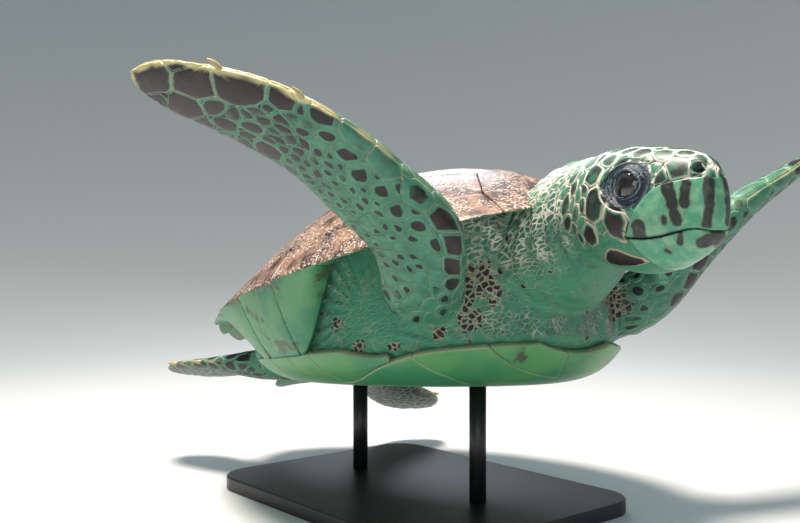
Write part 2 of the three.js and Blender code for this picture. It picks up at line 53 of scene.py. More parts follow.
mm = 0.001
rad = math.radians
random.seed(5)

pose = {"noseUp": 14, "leftSideDown": 3.5, "shellHeight": 232 * mm}
baseLow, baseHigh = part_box("stand_base")
baseMiddle = (baseLow + baseHigh) / 2
shellPlace = Vector((baseMiddle.x, baseMiddle.y, pose["shellHeight"]))
bodyToModel = (
    Matrix.Translation(shellPlace)
    @ Matrix.Rotation(-rad(pose["noseUp"]), 4, "X")
    @ Matrix.Rotation(rad(pose["leftSideDown"]), 4, "Y")
    @ Matrix.Scale(mm, 4)
)

head = {
    "length": 158,
    "place": (-46, -300, 18),
    "yawRight": 17,
    "pitchDown": 20,
    "halfWidth": [(0, 26), (.1, 36), (.28, 44), (.48, 44), (.62, 38), (.76, 29), (.9, 19), (1, 11)],
    "top": [(0, 23), (.1, 35), (.28, 44), (.48, 45), (.62, 44), (.76, 42), (.9, 36), (1, 18)],
    "bottom": [(0, -28), (.1, -42), (.28, -52), (.48, -55), (.62, -53), (.76, -45), (.9, -33), (1, -22)],
    "eyePlace": (26, -92.5, 14),
    "eyeRadius": 14.5,
}
headToBody = (
    Matrix.Translation(head["place"])
    @ Matrix.Rotation(-rad(head["yawRight"]), 4, "Z")
    @ Matrix.Rotation(rad(head["pitchDown"]), 4, "X")
)


# Numbers and curves.

def mix(a, b, share):
    return a + (b - a) * share


def ease(value, low, high):
    u = np.clip((value - low) / (high - low), 0, 1)
    return u * u * (3 - 2 * u)


def through(knots, t):
    # a smooth curve through (place, value) pairs
    x, y = np.array(knots, float).T
    t = np.asarray(t, float)
    slope = np.gradient(y, x)
    slope[1:-1] = (y[2:] - y[:-2]) / (x[2:] - x[:-2])
    i = np.clip(np.searchsorted(x, t, side="right") - 1, 0, len(x) - 2)
    span = x[i + 1] - x[i]
    u = np.clip((t - x[i]) / span, 0, 1)
    h = u * u * (3 - 2 * u)
    return mix(y[i], y[i + 1], h) + span * (u * (1 - u) ** 2 * slope[i] + u * u * (u - 1) * slope[i + 1])


def unit(vectors):
    return vectors / np.maximum(np.linalg.norm(vectors, axis=-1, keepdims=True), 1e-9)


def alongSpine(points, t):
    # a centripetal curve through the points, the given share of the way along
    p = np.array(points, float)
    p = np.vstack([2 * p[0] - p[1], p, 2 * p[-1] - p[-2]])
    t = np.clip(np.asarray(t, float), 0, 1) * (len(p) - 3)
    i = np.minimum(t.astype(int), len(p) - 4)
    w = (t - i)[:, None]
    a, b, c, d = p[i], p[i + 1], p[i + 2], p[i + 3]
    ab, bc, cd = (np.linalg.norm(v, axis=1, keepdims=True) ** .5 for v in (b - a, c - b, d - c))
    into = bc * ((b - a) / ab - (c - a) / (ab + bc) + (c - b) / bc)
    out = bc * ((c - b) / bc - (d - b) / (bc + cd) + (d - c) / cd)
    return b + w * (into + w * (3 * (c - b) - 2 * into - out + w * (2 * (b - c) + into + out)))


def spineTangent(points, t):
    t = np.asarray(t, float)
    return unit(alongSpine(points, t + 1e-3) - alongSpine(points, t - 1e-3))


def roundEnd(t, start, end):
    near = np.clip(t / start, 0, 1)
    far = np.clip((1 - t) / end, 0, 1)
    return np.sqrt(1 - (1 - near) ** 2) * np.sqrt(1 - (1 - far) ** 2)


def waves(points, size, seed):
    # smooth noise of about the given size in millimetres, from -1 to 1, at each point
    shift = Vector((seed * 7.3, seed * 3.1, seed * 5.7))
    return np.array([noise.noise(Vector(p) / size + shift) for p in points])


def transformed(matrix, points):
    m = np.array(matrix)
    return points @ m[:3, :3].T + m[:3, 3]


# Meshes.

def verts(bm):
    return np.array([v.co for v in bm.verts], float).reshape(-1, 3)


def setVerts(bm, places):
    for v, p in zip(bm.verts, places):
        v.co = p


def lofted(around, along, at):
    # a closed form from pole to pole: at(t, turn) is the point t of the way along and turn round
    bm = bmesh.new()
    bmesh.ops.create_uvsphere(bm, u_segments=around, v_segments=along, radius=1)
    co = verts(bm)
    t = np.arccos(np.clip(-co[:, 2], -1, 1)) / math.pi
    turn = np.arctan2(co[:, 1], co[:, 0]) % (2 * math.pi)
    setVerts(bm, at(t, turn))
    bmesh.ops.recalc_face_normals(bm, faces=bm.faces)
    return bm


def toMesh(name, bm):
    mesh = bpy.data.meshes.new(name)
    bm.to_mesh(mesh)
    bm.free()
    return mesh


def toObject(name, bm, smooth=True):
    mesh = toMesh(name, bm)
    if smooth:
        mesh.shade_smooth()
    else:
        mesh.shade_flat()
    piece = bpy.data.objects.new(name, mesh)
    bpy.context.scene.collection.objects.link(piece)
    return piece


def joined(name, parts):
    bm = bmesh.new()
    for part in parts:
        mesh = toMesh("part", part)
        bm.from_mesh(mesh)
        bpy.data.meshes.remove(mesh)
    return toObject(name, bm)


def applyModifiers(piece):
    bpy.context.view_layer.update()
    graph = bpy.context.evaluated_depsgraph_get()
    made = bpy.data.meshes.new_from_object(piece.evaluated_get(graph))
    piece.modifiers.clear()
    old = piece.data
    piece.data = made
    bpy.data.meshes.remove(old)


def remeshed(piece, voxel):
    remesh = piece.modifiers.new("remesh", "REMESH")
    remesh.mode = "VOXEL"
    remesh.voxel_size = voxel
    remesh.use_smooth_shade = True
    applyModifiers(piece)


def meshPlaces(mesh):
    places = np.empty(len(mesh.vertices) * 3)
    mesh.vertices.foreach_get("co", places)
    return places.reshape(-1, 3)


def setMeshPlaces(mesh, places):
    mesh.vertices.foreach_set("co", np.asarray(places, float).ravel())
    mesh.update()


def meshNormals(mesh):
    normals = np.empty(len(mesh.vertices) * 3)
    mesh.vertices.foreach_get("normal", normals)
    return normals.reshape(-1, 3)


def faceOutwards(mesh):
    bm = bmesh.new()
    bm.from_mesh(mesh)
    bmesh.ops.recalc_face_normals(bm, faces=bm.faces)
    bm.to_mesh(mesh)
    bm.free()


def triangleCount(mesh):
    return sum(len(p.vertices) - 2 for p in mesh.polygons)


def setAttribute(mesh, name, values, kind="FLOAT"):
    field = "vector" if kind == "FLOAT_VECTOR" else "value"
    attribute = mesh.attributes.new(name, kind, "POINT")
    attribute.data.foreach_set(field, np.asarray(values, np.float32).ravel())


def finishPiece(piece, material, slot, *nodes, moveBy=bodyToModel):
    # the piece goes from the animal's own frame into the model's, and stands for its solids
    piece.data.transform(moveBy)
    piece.data.materials.clear()
    piece.data.materials.append(material)
    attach(piece, "root")
    if nodes:
        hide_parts(*nodes)
    return piece


# Shell surfaces.

shell = {
    "frontLength": 276, "rearLength": 306, "halfWidth": 216,
    "frontFullness": .1, "rearTaper": .25, "frontArch": 26,
    "domeHeight": 130, "domePower": 1.95, "domeRearDrop": .45, "keelHeight": 4, "keelWidth": 26,
    "bellyDepth": 100, "bellySlope": .17, "bellyPower": 7,
    "plateThickness": 5, "overlapStep": 1.5, "lining": 2.5, "seam": .6,
    "rimStart": .85, "nuchalHalfAngle": 12,
}
plastronShape = {
    "front": -226, "rear": 196, "thickness": 6, "bridgeFront": -78, "bridgeRear": 78,
    "halfWidths": [(-226, 44), (-207, 86), (-179, 121), (-147, 143), (-106, 152), (-60, 142),
                   (0, 126), (78, 116), (130, 102), (170, 76), (196, 34)],
}


def onOutline(angle, r):
    # a point on the rim outline scaled by r, at an angle in degrees from the front of the shell
    c = np.cos(np.radians(angle))
    s = np.sin(np.radians(angle))
    power = 1 + shell["rearTaper"] * np.maximum(0, -c)
    length = np.where(c > 0, shell["frontLength"], shell["rearLength"])
    x = r * shell["halfWidth"] * np.sign(s) * np.abs(s) ** power * (1 + shell["frontFullness"] * c)
    return x, -r * length * c


def reach(x, y):
    # how far out a point lies: 0 in the middle of the shell and 1 on its rim
    length = np.where(y < 0, shell["frontLength"], shell["rearLength"])
    low = np.abs(y) / length
    high = np.full_like(low, 2.0)
    for _ in range(24):
        r = np.maximum((low + high) / 2, 1e-6)
        angle = np.degrees(np.arccos(np.clip(-y / (r * length), -1, 1)))
        inside = onOutline(angle, r)[0] < np.abs(x)
        low = np.where(inside, r, low)
        high = np.where(inside, high, r)
    return (low + high) / 2


def rimLift(y, r):
    forward = np.maximum(0, -y / (shell["frontLength"] * np.maximum(r, .01)))
    return shell["frontArch"] * forward ** 3 * r * r


def domeZ(x, y):
    r = reach(x, y)
    keel = shell["keelHeight"] * np.exp(-(x / shell["keelWidth"]) ** 2) * ease(1 - r, .1, .4)
    drop = shell["domeRearDrop"] * ease(y, -.3 * shell["frontLength"], shell["rearLength"])
    return rimLift(y, r) + shell["domeHeight"] * (1 - drop) * (1 - r ** shell["domePower"]) + keel


def bellyZ(x, y):
    r = reach(x, y)
    depth = shell["bellyDepth"] - shell["bellySlope"] * y
    return rimLift(y, r) * r ** 8 - depth * (1 - r ** shell["bellyPower"])


def raised(field, x, y, lift):
    step = .5
    x = np.asarray(x, float)
    y = np.asarray(y, float)
    slopeX = (field(x + step, y) - field(x - step, y)) / (2 * step)
    slopeY = (field(x, y + step) - field(x, y - step)) / (2 * step)
    normal = unit(np.stack([-slopeX, -slopeY, np.ones_like(x)], -1))
    return np.stack([x, y, field(x, y)], -1) + normal * np.asarray(lift, float)[..., None]


# Limbs. The edges are half-widths ahead of and behind the middle line, and depth is half the thickness.

frontFlipper = {
    "lead": [(0, 34), (.18, 34), (.34, 29), (.5, 39), (.68, 42), (.85, 29), (1, 15)],
    "trail": [(0, 34), (.18, 43), (.34, 50), (.5, 47), (.68, 42), (.85, 34), (1, 22)],
    "depth": [(0, 32), (.18, 30), (.34, 22), (.5, 13), (.68, 8), (.85, 5.5), (1, 4)],
    "tipShare": .1,
    "clawShares": (.62, .78),
    "length": 480,
}
hindFlipper = {
    "lead": [(0, 26), (.3, 26), (.55, 34), (.8, 38), (1, 26)],
    "trail": [(0, 26), (.3, 28), (.55, 40), (.8, 46), (1, 30)],
    "depth": [(0, 26), (.3, 18), (.55, 9), (.8, 5), (1, 3.5)],
    "tipShare": .16,
    "clawShares": (.62, .8),
    "length": 235,
}


def limbNamed(shape, side, line, aheadFrom, aheadTo):
    return {**shape, "side": side, "line": line, "ahead": (np.array(aheadFrom), np.array(aheadTo))}


limbs = {
    "front_flipper_right": limbNamed(
        frontFlipper, "right",
        [(-112, -140, -42), (-150, -190, -30), (-188, -233, 1), (-243, -235, 35),
         (-290, -230, 61), (-330, -211, 86), (-365, -183, 109), (-396, -143, 132)],
        (.4, -.8, .3), (-.2, -.96, .18)),
    "front_flipper_left": limbNamed(
        frontFlipper, "left",
        [(105, -145, -50), (142, -198, -42), (190, -242, 6), (248, -272, 48),
         (300, -293, 76), (345, -303, 99), (388, -304, 122), (426, -296, 147)],
        (-.4, -.8, .3), (-.56, -.8, .08)),
    "hind_flipper_right": limbNamed(
        hindFlipper, "right",
        [(-60, 160, -48), (-88, 215, -44), (-105, 290, -36), (-122, 378, -28)],
        (-1, 0, .2), (-1, 0, .2)),
    "hind_flipper_left": limbNamed(
        hindFlipper, "left",
        [(60, 160, -48), (95, 212, -62), (158, 244, -84), (238, 268, -104)],
        (.6, -.7, 0), (.6, -.7, 0)),
}


def limbAxes(limb, t):
    # middle line, and the directions across to the leading edge, through the blade and along it
    tangent = spineTangent(limb["line"], t)
    start, end = limb["ahead"]
    across = unit(mix(start, end, ease(t, .1, .6)[:, None]))
    across = unit(across - tangent * np.sum(across * tangent, -1, keepdims=True))
    return alongSpine(limb["line"], t), across, np.cross(tangent, across), tangent


def limbHalfSizes(limb, t, turn, grow=0):
    end = roundEnd(t, .1, limb["tipShare"])
    c = np.cos(turn)
    width = np.where(c > 0, through(limb["lead"], t), through(limb["trail"], t))
    foil = 1 + .25 * c * ease(t, .3, .6)  # the blade is thicker towards its leading edge
    return end * (width + grow), end * (through(limb["depth"], t) + grow) * foil


def limbPoint(limb, t, turn, grow=0):
    middle, across, depthwise, _ = limbAxes(limb, t)
    width, depth = limbHalfSizes(limb, t, turn, grow)
    return middle + across * (np.cos(turn) * width)[:, None] + depthwise * (np.sin(turn) * depth)[:, None]


# Flesh.

neckShape = {
    "line": [(0, -150, -30), (-6, -215, -12), (-28, -275, 10), (-54, -338, 4)],
    "half": [(0, 78), (.4, 70), (.7, 53), (1, 42)],
    "tall": [(0, 50), (.4, 54), (.7, 50), (1, 42)],
}


def neckForm():
    def at(t, turn):
        tangent = spineTangent(neckShape["line"], t)
        across = unit(np.array((1.0, 0, 0)) - tangent * tangent[:, :1])
        upwards = np.cross(tangent, across)
        end = roundEnd(t, .15, .12)
        wide = end * through(neckShape["half"], t) * np.cos(turn)
        tall = end * through(neckShape["tall"], t) * np.sin(turn)
        return alongSpine(neckShape["line"], t) + across * wide[:, None] + upwards * tall[:, None]
    return lofted(64, 48, at)


tailShape = {"line": [(0, 215, -48), (0, 265, -52), (0, 318, -58)], "half": (26, 5), "tall": (20, 4)}


def tailForm():
    def at(t, turn):
        end = roundEnd(t, .2, .15)
        half, tall = end * mix(*tailShape["half"], t), end * mix(*tailShape["tall"], t)
        offset = np.stack([half * np.cos(turn), 0 * t, tall * np.sin(turn)], -1)
        return alongSpine(tailShape["line"], t) + offset
    return lofted(32, 28, at)


def trunkForm():
    lidShare = .42

    def at(t, turn):
        angle = np.degrees(turn)
        angle = np.where(angle > 180, angle - 360, angle)
        r = (shell["rimStart"] - .012) * np.minimum(1, np.minimum(t, 1 - t) / lidShare)
        x, y = onOutline(angle, r)
        top = raised(domeZ, x, y, np.full_like(x, -shell["plateThickness"] - shell["lining"]))
        bottom = raised(bellyZ, x, y, np.full_like(x, plastronShape["thickness"] + shell["lining"]))
        return mix(top, bottom, ease(t, lidShare, 1 - lidShare)[:, None])
    return lofted(96, 50, at)


def headPoint(t, turn, grow=0):
    # a point on the head's own surface, in the head's frame
    t = np.clip(t, 0, 1)
    end = roundEnd(t, .08, .04)
    c, s = np.cos(turn), np.sin(turn)
    half = (through(head["halfWidth"], t) + grow) * end
    middle = mix(-2, -8, t)
    top = (through(head["top"], t) + grow - middle) * end
    bottom = (middle - through(head["bottom"], t) + grow) * end
    x = half * np.sign(c) * np.abs(c) ** .9
    z = middle + np.where(s > 0, top, bottom) * np.sign(s) * np.abs(s) ** .9
    return np.stack([x, -head["length"] * t, z], -1)


def headForm(grow=0, around=72, along=64):
    return lofted(around, along, lambda t, turn: headPoint(t, turn, grow))


def flipperForm(limb):
    return lofted(48, 90, lambda t, turn: limbPoint(limb, t, turn))


skinSettings = {"voxel": 2.6, "smoothing": 2, "junctionSmoothing": 20, "triangles": 190000, "seenWeight": .18}

headBody = headForm()
setVerts(headBody, transformed(headToBody, verts(headBody)))
flesh = [trunkForm(), neckForm(), tailForm(), headBody] + [flipperForm(limb) for limb in limbs.values()]
skin = joined("skin", flesh)
remeshed(skin, skinSettings["voxel"])
print("skin remeshed:", len(skin.data.vertices), "points")


# Where a point of the skin lies on a limb. Distances along and round it are worked out once for each limb.

def limbTable(limb):
    t = np.linspace(0, 1, 141)
    turn = np.linspace(0, math.pi, 121)
    middle = alongSpine(limb["line"], t)
    along = np.concatenate([[0], np.cumsum(np.linalg.norm(np.diff(middle, axis=0), axis=1))])
    grid, turns = np.meshgrid(t, turn, indexing="ij")
    width, depth = limbHalfSizes(limb, grid.ravel(), turns.ravel())
    x = (np.cos(turns.ravel()) * width).reshape(grid.shape)
    z = (np.sin(turns.ravel()) * depth).reshape(grid.shape)
    steps = np.hypot(np.diff(x, axis=1), np.diff(z, axis=1))
    around = np.hstack([np.zeros((len(t), 1)), np.cumsum(steps, axis=1)])
    shares = np.linspace(0, 1, 101)
    turnAt = np.array([np.interp(shares * row[-1], row + np.arange(len(row)) * 1e-9, turn) for row in around])
    return {"t": t, "along": along, "halfGirth": around[:, -1], "shares": shares, "turnAt": turnAt,
            "turns": turn, "shareAt": around / around[:, -1:]}


def fromGrid(grid, a, b):
    # a value between the grid's points, at the shares a and b of its rows and columns
    row = np.clip(a, 0, 1) * (grid.shape[0] - 1)
    column = np.clip(b, 0, 1) * (grid.shape[1] - 1)
    i = np.minimum(row.astype(int), grid.shape[0] - 2)
    j = np.minimum(column.astype(int), grid.shape[1] - 2)
    u, v = row - i, column - j
    return mix(mix(grid[i, j], grid[i, j + 1], v), mix(grid[i + 1, j], grid[i + 1, j + 1], v), u)


def turnFromShare(table, t, share):
    # the turn at which the given share of the way from the leading to the trailing edge lies
    return fromGrid(table["turnAt"], t, share)


def limbPlaces(limb, points):
    # share of the length, turn round the limb, and how far outside its surface, for each point
    t = np.linspace(0, 1, 161)
    middle = alongSpine(limb["line"], t)
    distance = (points ** 2).sum(1)[:, None] - 2 * points @ middle.T + (middle ** 2).sum(1)[None]
    t = t[np.argmin(distance, 1)]
    for _ in range(2):
        middle, _, _, tangent = limbAxes(limb, t)
        length = limb["table"]["along"][-1]
        t = np.clip(t + ((points - middle) * tangent).sum(1) / length, .001, .999)
    middle, across, depthwise, _ = limbAxes(limb, t)
    x = ((points - middle) * across).sum(1)
    z = ((points - middle) * depthwise).sum(1)
    turn = np.arctan2(z, x)
    for _ in range(2):
        width, depth = limbHalfSizes(limb, t, turn)
        turn = np.arctan2(z / depth, x / width)
    proud = np.linalg.norm(points - limbPoint(limb, t, turn), axis=1)
    return t, turn, proud


for limb in limbs.values():
    limb["table"] = limbTable(limb)


# Skin: smoothing where the limbs leave the body, then folds, lids, nostrils and the bed of the beak.

def smoothSkin(bm, chosen, passes):
    axes = {"use_axis_x": True, "use_axis_y": True, "use_axis_z": True}
    for _ in range(passes):
        bmesh.ops.smooth_vert(bm, verts=chosen, factor=.5, **axes)


face = {
    "lidRadius": 20.5, "openingWidth": 11.2, "openingHeight": 9.7, "lidHeight": .8,
    "lidThickness": 1, "lidFold": .6, "lidFolds": 3,
    "nostril": (.915, 31), "nostrilRadius": 4.4, "nostrilDepth": 6,
    "browPlace": (.6, 42), "browRise": 1.6, "browSize": 15,
    "bedDepth": 2.2, "slitDepth": 4.5, "slitWidth": 1.6,
    "upperBeak": [(1.25, 23), (.98, 23), (.9, 21.5), (.76, 15), (.68, 0), (.635, -17), (.62, -25)],
    "mouthLine": [(.62, -25), (.71, -24.5), (.79, -22), (.86, -18.2), (.92, -15), (.965, -14.5), (1, -16.5),
                  (1.25, -18)],
    "lowerBeak": [(.63, -25.5), (.66, -33), (.7, -44), (.74, -70)],
    "jawFold": [(.24, -40), (.36, -37), (.5, -30), (.6, -27)],
}


def headSpot(share, downFromTop, side):
    # a point of the head's surface, by its share of the length and degrees down from the midline of the top
    return headPoint(np.array([share], float), np.radians([90 - side * downFromTop]))[0]


def distanceToLine(line, y, z):
    # distance in the side view from a line of (share of the head's length, height) points
    knots = np.array([(-head["length"] * share, height) for share, height in line], float)
    best = np.full(y.shape, 1e9)
    for a, b in zip(knots[:-1], knots[1:]):
        d = b - a
        u = np.clip(((y - a[0]) * d[0] + (z - a[1]) * d[1]) / (d @ d), 0, 1)
        best = np.minimum(best, np.hypot(y - a[0] - u * d[0], z - a[1] - u * d[1]))
    return best


def insideOutline(outline, y, z):
    inside = np.zeros(y.shape, bool)
    for (y0, z0), (y1, z1) in zip(outline, outline[1:] + outline[:1]):
        crosses = (z0 > z) != (z1 > z)
        at = y0 + (z - z0) * (y1 - y0) / ((z1 - z0) if z1 != z0 else 1e-9)
        inside ^= crosses & (y < at)
    return inside


def sideView(line):
    return [(-head["length"] * share, height) for share, height in line]


upperBeakOutline = sideView(face["upperBeak"] + face["mouthLine"][1:])
lowerBeakOutline = sideView(face["lowerBeak"] + [(1.25, -70)] + face["mouthLine"][:0:-1])


def lidFrame(side):
    # middle of the eyeball and the three directions of the lids: outwards, forwards and up
    x, y, z = head["eyePlace"]
    centre = np.array((side * x, y, z), float)
    outwards = unit(np.array((side * 1.0, -.1, .16)))
    forwards = unit(np.array((0, -1.0, 0)) - outwards * -outwards[1])
    up = np.cross(forwards, outwards) * side
    if up[2] < 0:
        up = -up
    return centre, outwards, forwards, up


def shapeHead(places, normals, mask):
    # works in the head's frame and returns the points moved for the brow, lids, nostrils, beak bed and slit,
    # with marks for the lids, for the painted highlight on the lid folds and for the painted shade in the
    # nostrils and the mouth slit
    moved = places.copy()
    lid, ring, lidHighlight, slitShade = np.zeros((4, len(places)))
    y, z = places[:, 1], places[:, 2]
    share = -y / head["length"]
    for side in (1, -1):
        own = places[:, 0] * side > 0
        centre, outwards, forwards, up = lidFrame(side)
        brow = headSpot(*face["browPlace"], side)
        d = np.linalg.norm(places - brow, axis=1)
        moved += outwards * (own * face["browRise"] * np.exp(-(d / face["browSize"]) ** 2))[:, None]
        offset = places - centre
        f, u = offset @ forwards, offset @ up
        outside = offset @ outwards > 0
        d = np.hypot(f / face["openingWidth"], u / face["openingHeight"]) * 10
        near = own & outside & (d < face["lidRadius"] * 1.3)
        # the lids drape over the eyeball, and the skin inside their opening lies just under it
        flat = np.hypot(f, u)
        over = np.sqrt(np.maximum((head["eyeRadius"] + face["lidThickness"]) ** 2 - flat ** 2, 4))
        under = np.sqrt(np.maximum((head["eyeRadius"] - 1.2) ** 2 - flat ** 2, 1))
        height = mix(over, offset @ outwards, ease(d, 11.5, 18.5))
        lip = face["lidHeight"] * np.exp(-((d - 11.4) / 1.3) ** 2)
        wave = np.cos((d - 12.3) / (face["lidRadius"] - 11) * face["lidFolds"] * 2 * math.pi)
        fade = ease(d, 11.5, 13.5) * (1 - ease(d, face["lidRadius"] - 3, face["lidRadius"] + 1))
        groove = -1.1 * np.exp(-((d - face["lidRadius"]) / 1.6) ** 2)
        height = mix(under, height + lip + face["lidFold"] * wave * fade + groove, ease(d, 9.6, 10.8))
        moved += outwards * np.where(near, height - offset @ outwards, 0)[:, None]
        lid = np.maximum(lid, np.where(near, 1 - ease(d, face["lidRadius"] - 2.5, face["lidRadius"] + .5), 0))
        ring = np.where(near, d, ring)
        # painted highlight: the crests of the lid folds and the lid's lip are paler towards the top and rear
        # of the eye
        lit = ease(wave * fade + .9 * lip, .35, 1) * ease(u - .6 * f, -4, 8)
        lidHighlight = np.maximum(lidHighlight, np.where(near, lit, 0))
        hole = headSpot(*face["nostril"], side)
        d = np.linalg.norm(places - hole, axis=1)
        d = np.hypot(d, 1.1 * (places[:, 2] - hole[2]))
        pit = face["nostrilDepth"] * np.exp(-(d / face["nostrilRadius"]) ** 4)
        rim = .9 * np.exp(-((d - face["nostrilRadius"] - 1.6) / 1.5) ** 2)
        moved += normals * (own * (rim - pit))[:, None]
        # painted shade: the inside of each nostril pit is marked near-black
        slitShade = np.maximum(slitShade, own * np.exp(-(d / (face["nostrilRadius"] * .9)) ** 4))
    inside = (insideOutline(upperBeakOutline, y, z) | insideOutline(lowerBeakOutline, y, z)) & mask
    edge = np.minimum(distanceToLine(face["upperBeak"], y, z), distanceToLine(face["lowerBeak"], y, z))
    bed = inside * ease(edge, .6, 3.2)
    moved -= normals * (face["bedDepth"] * bed)[:, None]
    line = distanceToLine(face["mouthLine"], y, z)
    gape = np.exp(-(line / face["slitWidth"]) ** 2) * (share > .61) * mask
    moved -= normals * (gape * face["slitDepth"])[:, None]
    # painted shade along the mouth slit
    slitShade = np.maximum(slitShade, np.exp(-(line / (face["slitWidth"] * 1.3)) ** 2) * (share > .6))
    fold = np.exp(-(distanceToLine(face["jawFold"], y, z) / 1.5) ** 2)
    moved -= normals * (.9 * fold)[:, None]
    return moved, {"lid": lid, "lidRing": ring, "lidHighlight": lidHighlight, "slitShade": slitShade}


def shapeSkin(piece):
    bm = bmesh.new()
    bm.from_mesh(piece.data)
    places = verts(bm)
    junction = np.zeros(len(places), bool)
    for name, limb in limbs.items():
        t, _, _ = limbPlaces(limb, places)
        near = np.linalg.norm(places - alongSpine(limb["line"], t), axis=1) < 75
        junction |= near & (t < (.26 if "front" in name else .2))
    into = headToBody.inverted()
    inHead = transformed(into, places)
    onFace = (inHead[:, 1] < -34) & (np.abs(inHead[:, 0]) < 60) & (np.abs(inHead[:, 2]) < 70)
    collar = (np.abs(inHead[:, 1] + 4) < 34) & (np.abs(inHead[:, 0]) < 70) & (np.abs(inHead[:, 2]) < 75)
    bm.verts.ensure_lookup_table()
    smoothSkin(bm, bm.verts[:], skinSettings["smoothing"])
    soft = [bm.verts[i] for i in np.flatnonzero((junction | collar) & ~onFace)]
    smoothSkin(bm, soft, skinSettings["junctionSmoothing"])
    facial = set(bm.verts[i] for i in np.flatnonzero(onFace))
    edges = [e for e in bm.edges if e.verts[0] in facial and e.verts[1] in facial]
    bmesh.ops.subdivide_edges(bm, edges=edges, cuts=1, use_grid_fill=True, smooth=.35)
    bmesh.ops.recalc_face_normals(bm, faces=bm.faces)
    mesh = piece.data
    bm.to_mesh(mesh)
    bm.free()
    mesh.update()
    places = meshPlaces(mesh)
    normals = meshNormals(mesh)
    inHead = transformed(into, places)
    turnIn = np.array(into.to_3x3())
    facing = unit(normals @ turnIn.T)
    mask = (inHead[:, 1] < -60) & (np.linalg.norm(inHead - np.array((0, -100, 0)), axis=1) < 90)
    shaped, marks = shapeHead(inHead, facing, mask)
    onHead = (inHead[:, 1] < -20) & (np.linalg.norm(inHead - np.array((0, -80, -5)), axis=1) < 100)
    back = transformed(headToBody, shaped)
    places = np.where(onHead[:, None], back, places)
    setMeshPlaces(mesh, places)
    return {key: values * onHead for key, values in marks.items()}


skinMarks = shapeSkin(skin)
print("skin shaped:", len(skin.data.vertices), "points")


# Folds of loose skin: rings round the back of the neck, and creases that fan out of the armpits.

folds = {
    "neckDepth": 1.3, "neckSpacing": 17, "armpitDepth": 1.5, "armpits": [(-150, -112, -52), (148, -118, -58)],
    "creases": 26, "armpitReach": 95,
}


def foldSkin(piece):
    mesh = piece.data
    places, normals = meshPlaces(mesh), meshNormals(mesh)
    x, y, z = places.T
    wander = waves(places, 42, 1) * 9 + waves(places, 16, 2) * 3
    onNeck = ease(-y, 150, 185) * (1 - ease(-y, 285, 325)) * (1 - ease(np.abs(x), 70, 105))
    across = np.cos((y + .35 * z + wander) / folds["neckSpacing"] * 2 * math.pi)
    rise = folds["neckDepth"] * onNeck * across * mix(.35, 1, ease(z, -60, 30))
    for pit in folds["armpits"]:
        offset = places - np.array(pit)
        d = np.linalg.norm(offset, axis=1)
        angle = np.arctan2(offset[:, 2], offset[:, 1]) + .25 * waves(places, 60, 4)
        strength = ease(d, 12, 30) * (1 - ease(d, folds["armpitReach"] * .6, folds["armpitReach"]))
        rise += folds["armpitDepth"] * strength * np.cos(angle * folds["creases"]) * ease(d, 8, 50)
    setMeshPlaces(mesh, places + normals * rise[:, None])


foldSkin(skin)


# Horny beak: the head's form a little enlarged, cut along the side view's seams, then rounded.

beak = {
    "proud": .9, "voxel": .85, "smoothing": 5, "width": 160,
    # dark streaks: start and end as (share of head length, degrees down from the top), and radius in mm
    "upperStreaks": [
        ((.795, 60), (.83, 74), 5.2), ((.83, 74), (.872, 94), 4.6), ((.89, 60), (.9, 78), 4.4),
        ((.958, 28), (.985, 60), 4.2), ((.985, 60), (.985, 100), 3.6), ((.812, 91), (.816, 95), 2.6),
        ((.69, 101), (.7, 112), 5.6),
    ],
    "lowerStreaks": [((.885, 112), (.868, 127), 2.8), ((.96, 150), (.985, 176), 6.5),
                     ((.8, 134), (.81, 138), 2.2)],
}


def cutByOutline(piece, outline):
    # keeps what lies inside an outline in the side view
    bm = bmesh.new()
    half = beak["width"] / 2
    corners = [bm.verts.new((-half, y, z)) for y, z in outline]
    flat = bm.faces.new(corners)
    grown = bmesh.ops.extrude_face_region(bm, geom=[flat], use_keep_orig=True)
    far = [g for g in grown["geom"] if isinstance(g, bmesh.types.BMVert)]
    bmesh.ops.translate(bm, vec=(2 * half, 0, 0), verts=far)
    bmesh.ops.recalc_face_normals(bm, faces=bm.faces)
    cutter = toObject("cutter", bm)
    cut = piece.modifiers.new("cut", "BOOLEAN")
    cut.operation = "INTERSECT"
    cut.solver = "EXACT"
    cut.object = cutter
    applyModifiers(piece)
    bpy.data.objects.remove(cutter)


def smoothCurve(line, steps=40):
    # the outline's points again, on a smooth curve through them
    flat = [(y, z, 0) for y, z in line]
    return [tuple(p[:2]) for p in alongSpine(flat, np.linspace(0, 1, steps))]


def makeBeak(name, outline, streaks):
    piece = toObject(name, headForm(beak["proud"], 96, 96))
    cutByOutline(piece, outline)
    remeshed(piece, beak["voxel"])
    bm = bmesh.new()
    bm.from_mesh(piece.data)
    smoothSkin(bm, bm.verts[:], beak["smoothing"])
    bm.to_mesh(piece.data)
    bm.free()
    places = meshPlaces(piece.data)
    streak = np.zeros(len(places))
    wobble = waves(places, 5, 3) * 1.1
    for start, end, radius in streaks:
        for side in (1, -1):
            a, b = headSpot(*start, side), headSpot(*end, side)
            u = np.clip(((places - a) @ (b - a)) / ((b - a) @ (b - a)), 0, 1)
            d = np.linalg.norm(places - a - u[:, None] * (b - a), axis=1) + wobble
            streak = np.maximum(streak, 1 - ease(d, radius - 1.6, radius + 1.6))
    setAttribute(piece.data, "streak", streak)
    # painted shade along the mouth line where the jaws meet, fading towards the tip
    gape = np.exp(-(distanceToLine(face["mouthLine"], places[:, 1], places[:, 2]) / 1.1) ** 2)
    setAttribute(piece.data, "gape", gape * (1 - .75 * ease(-places[:, 1] / head["length"], .84, .95)))
    return piece


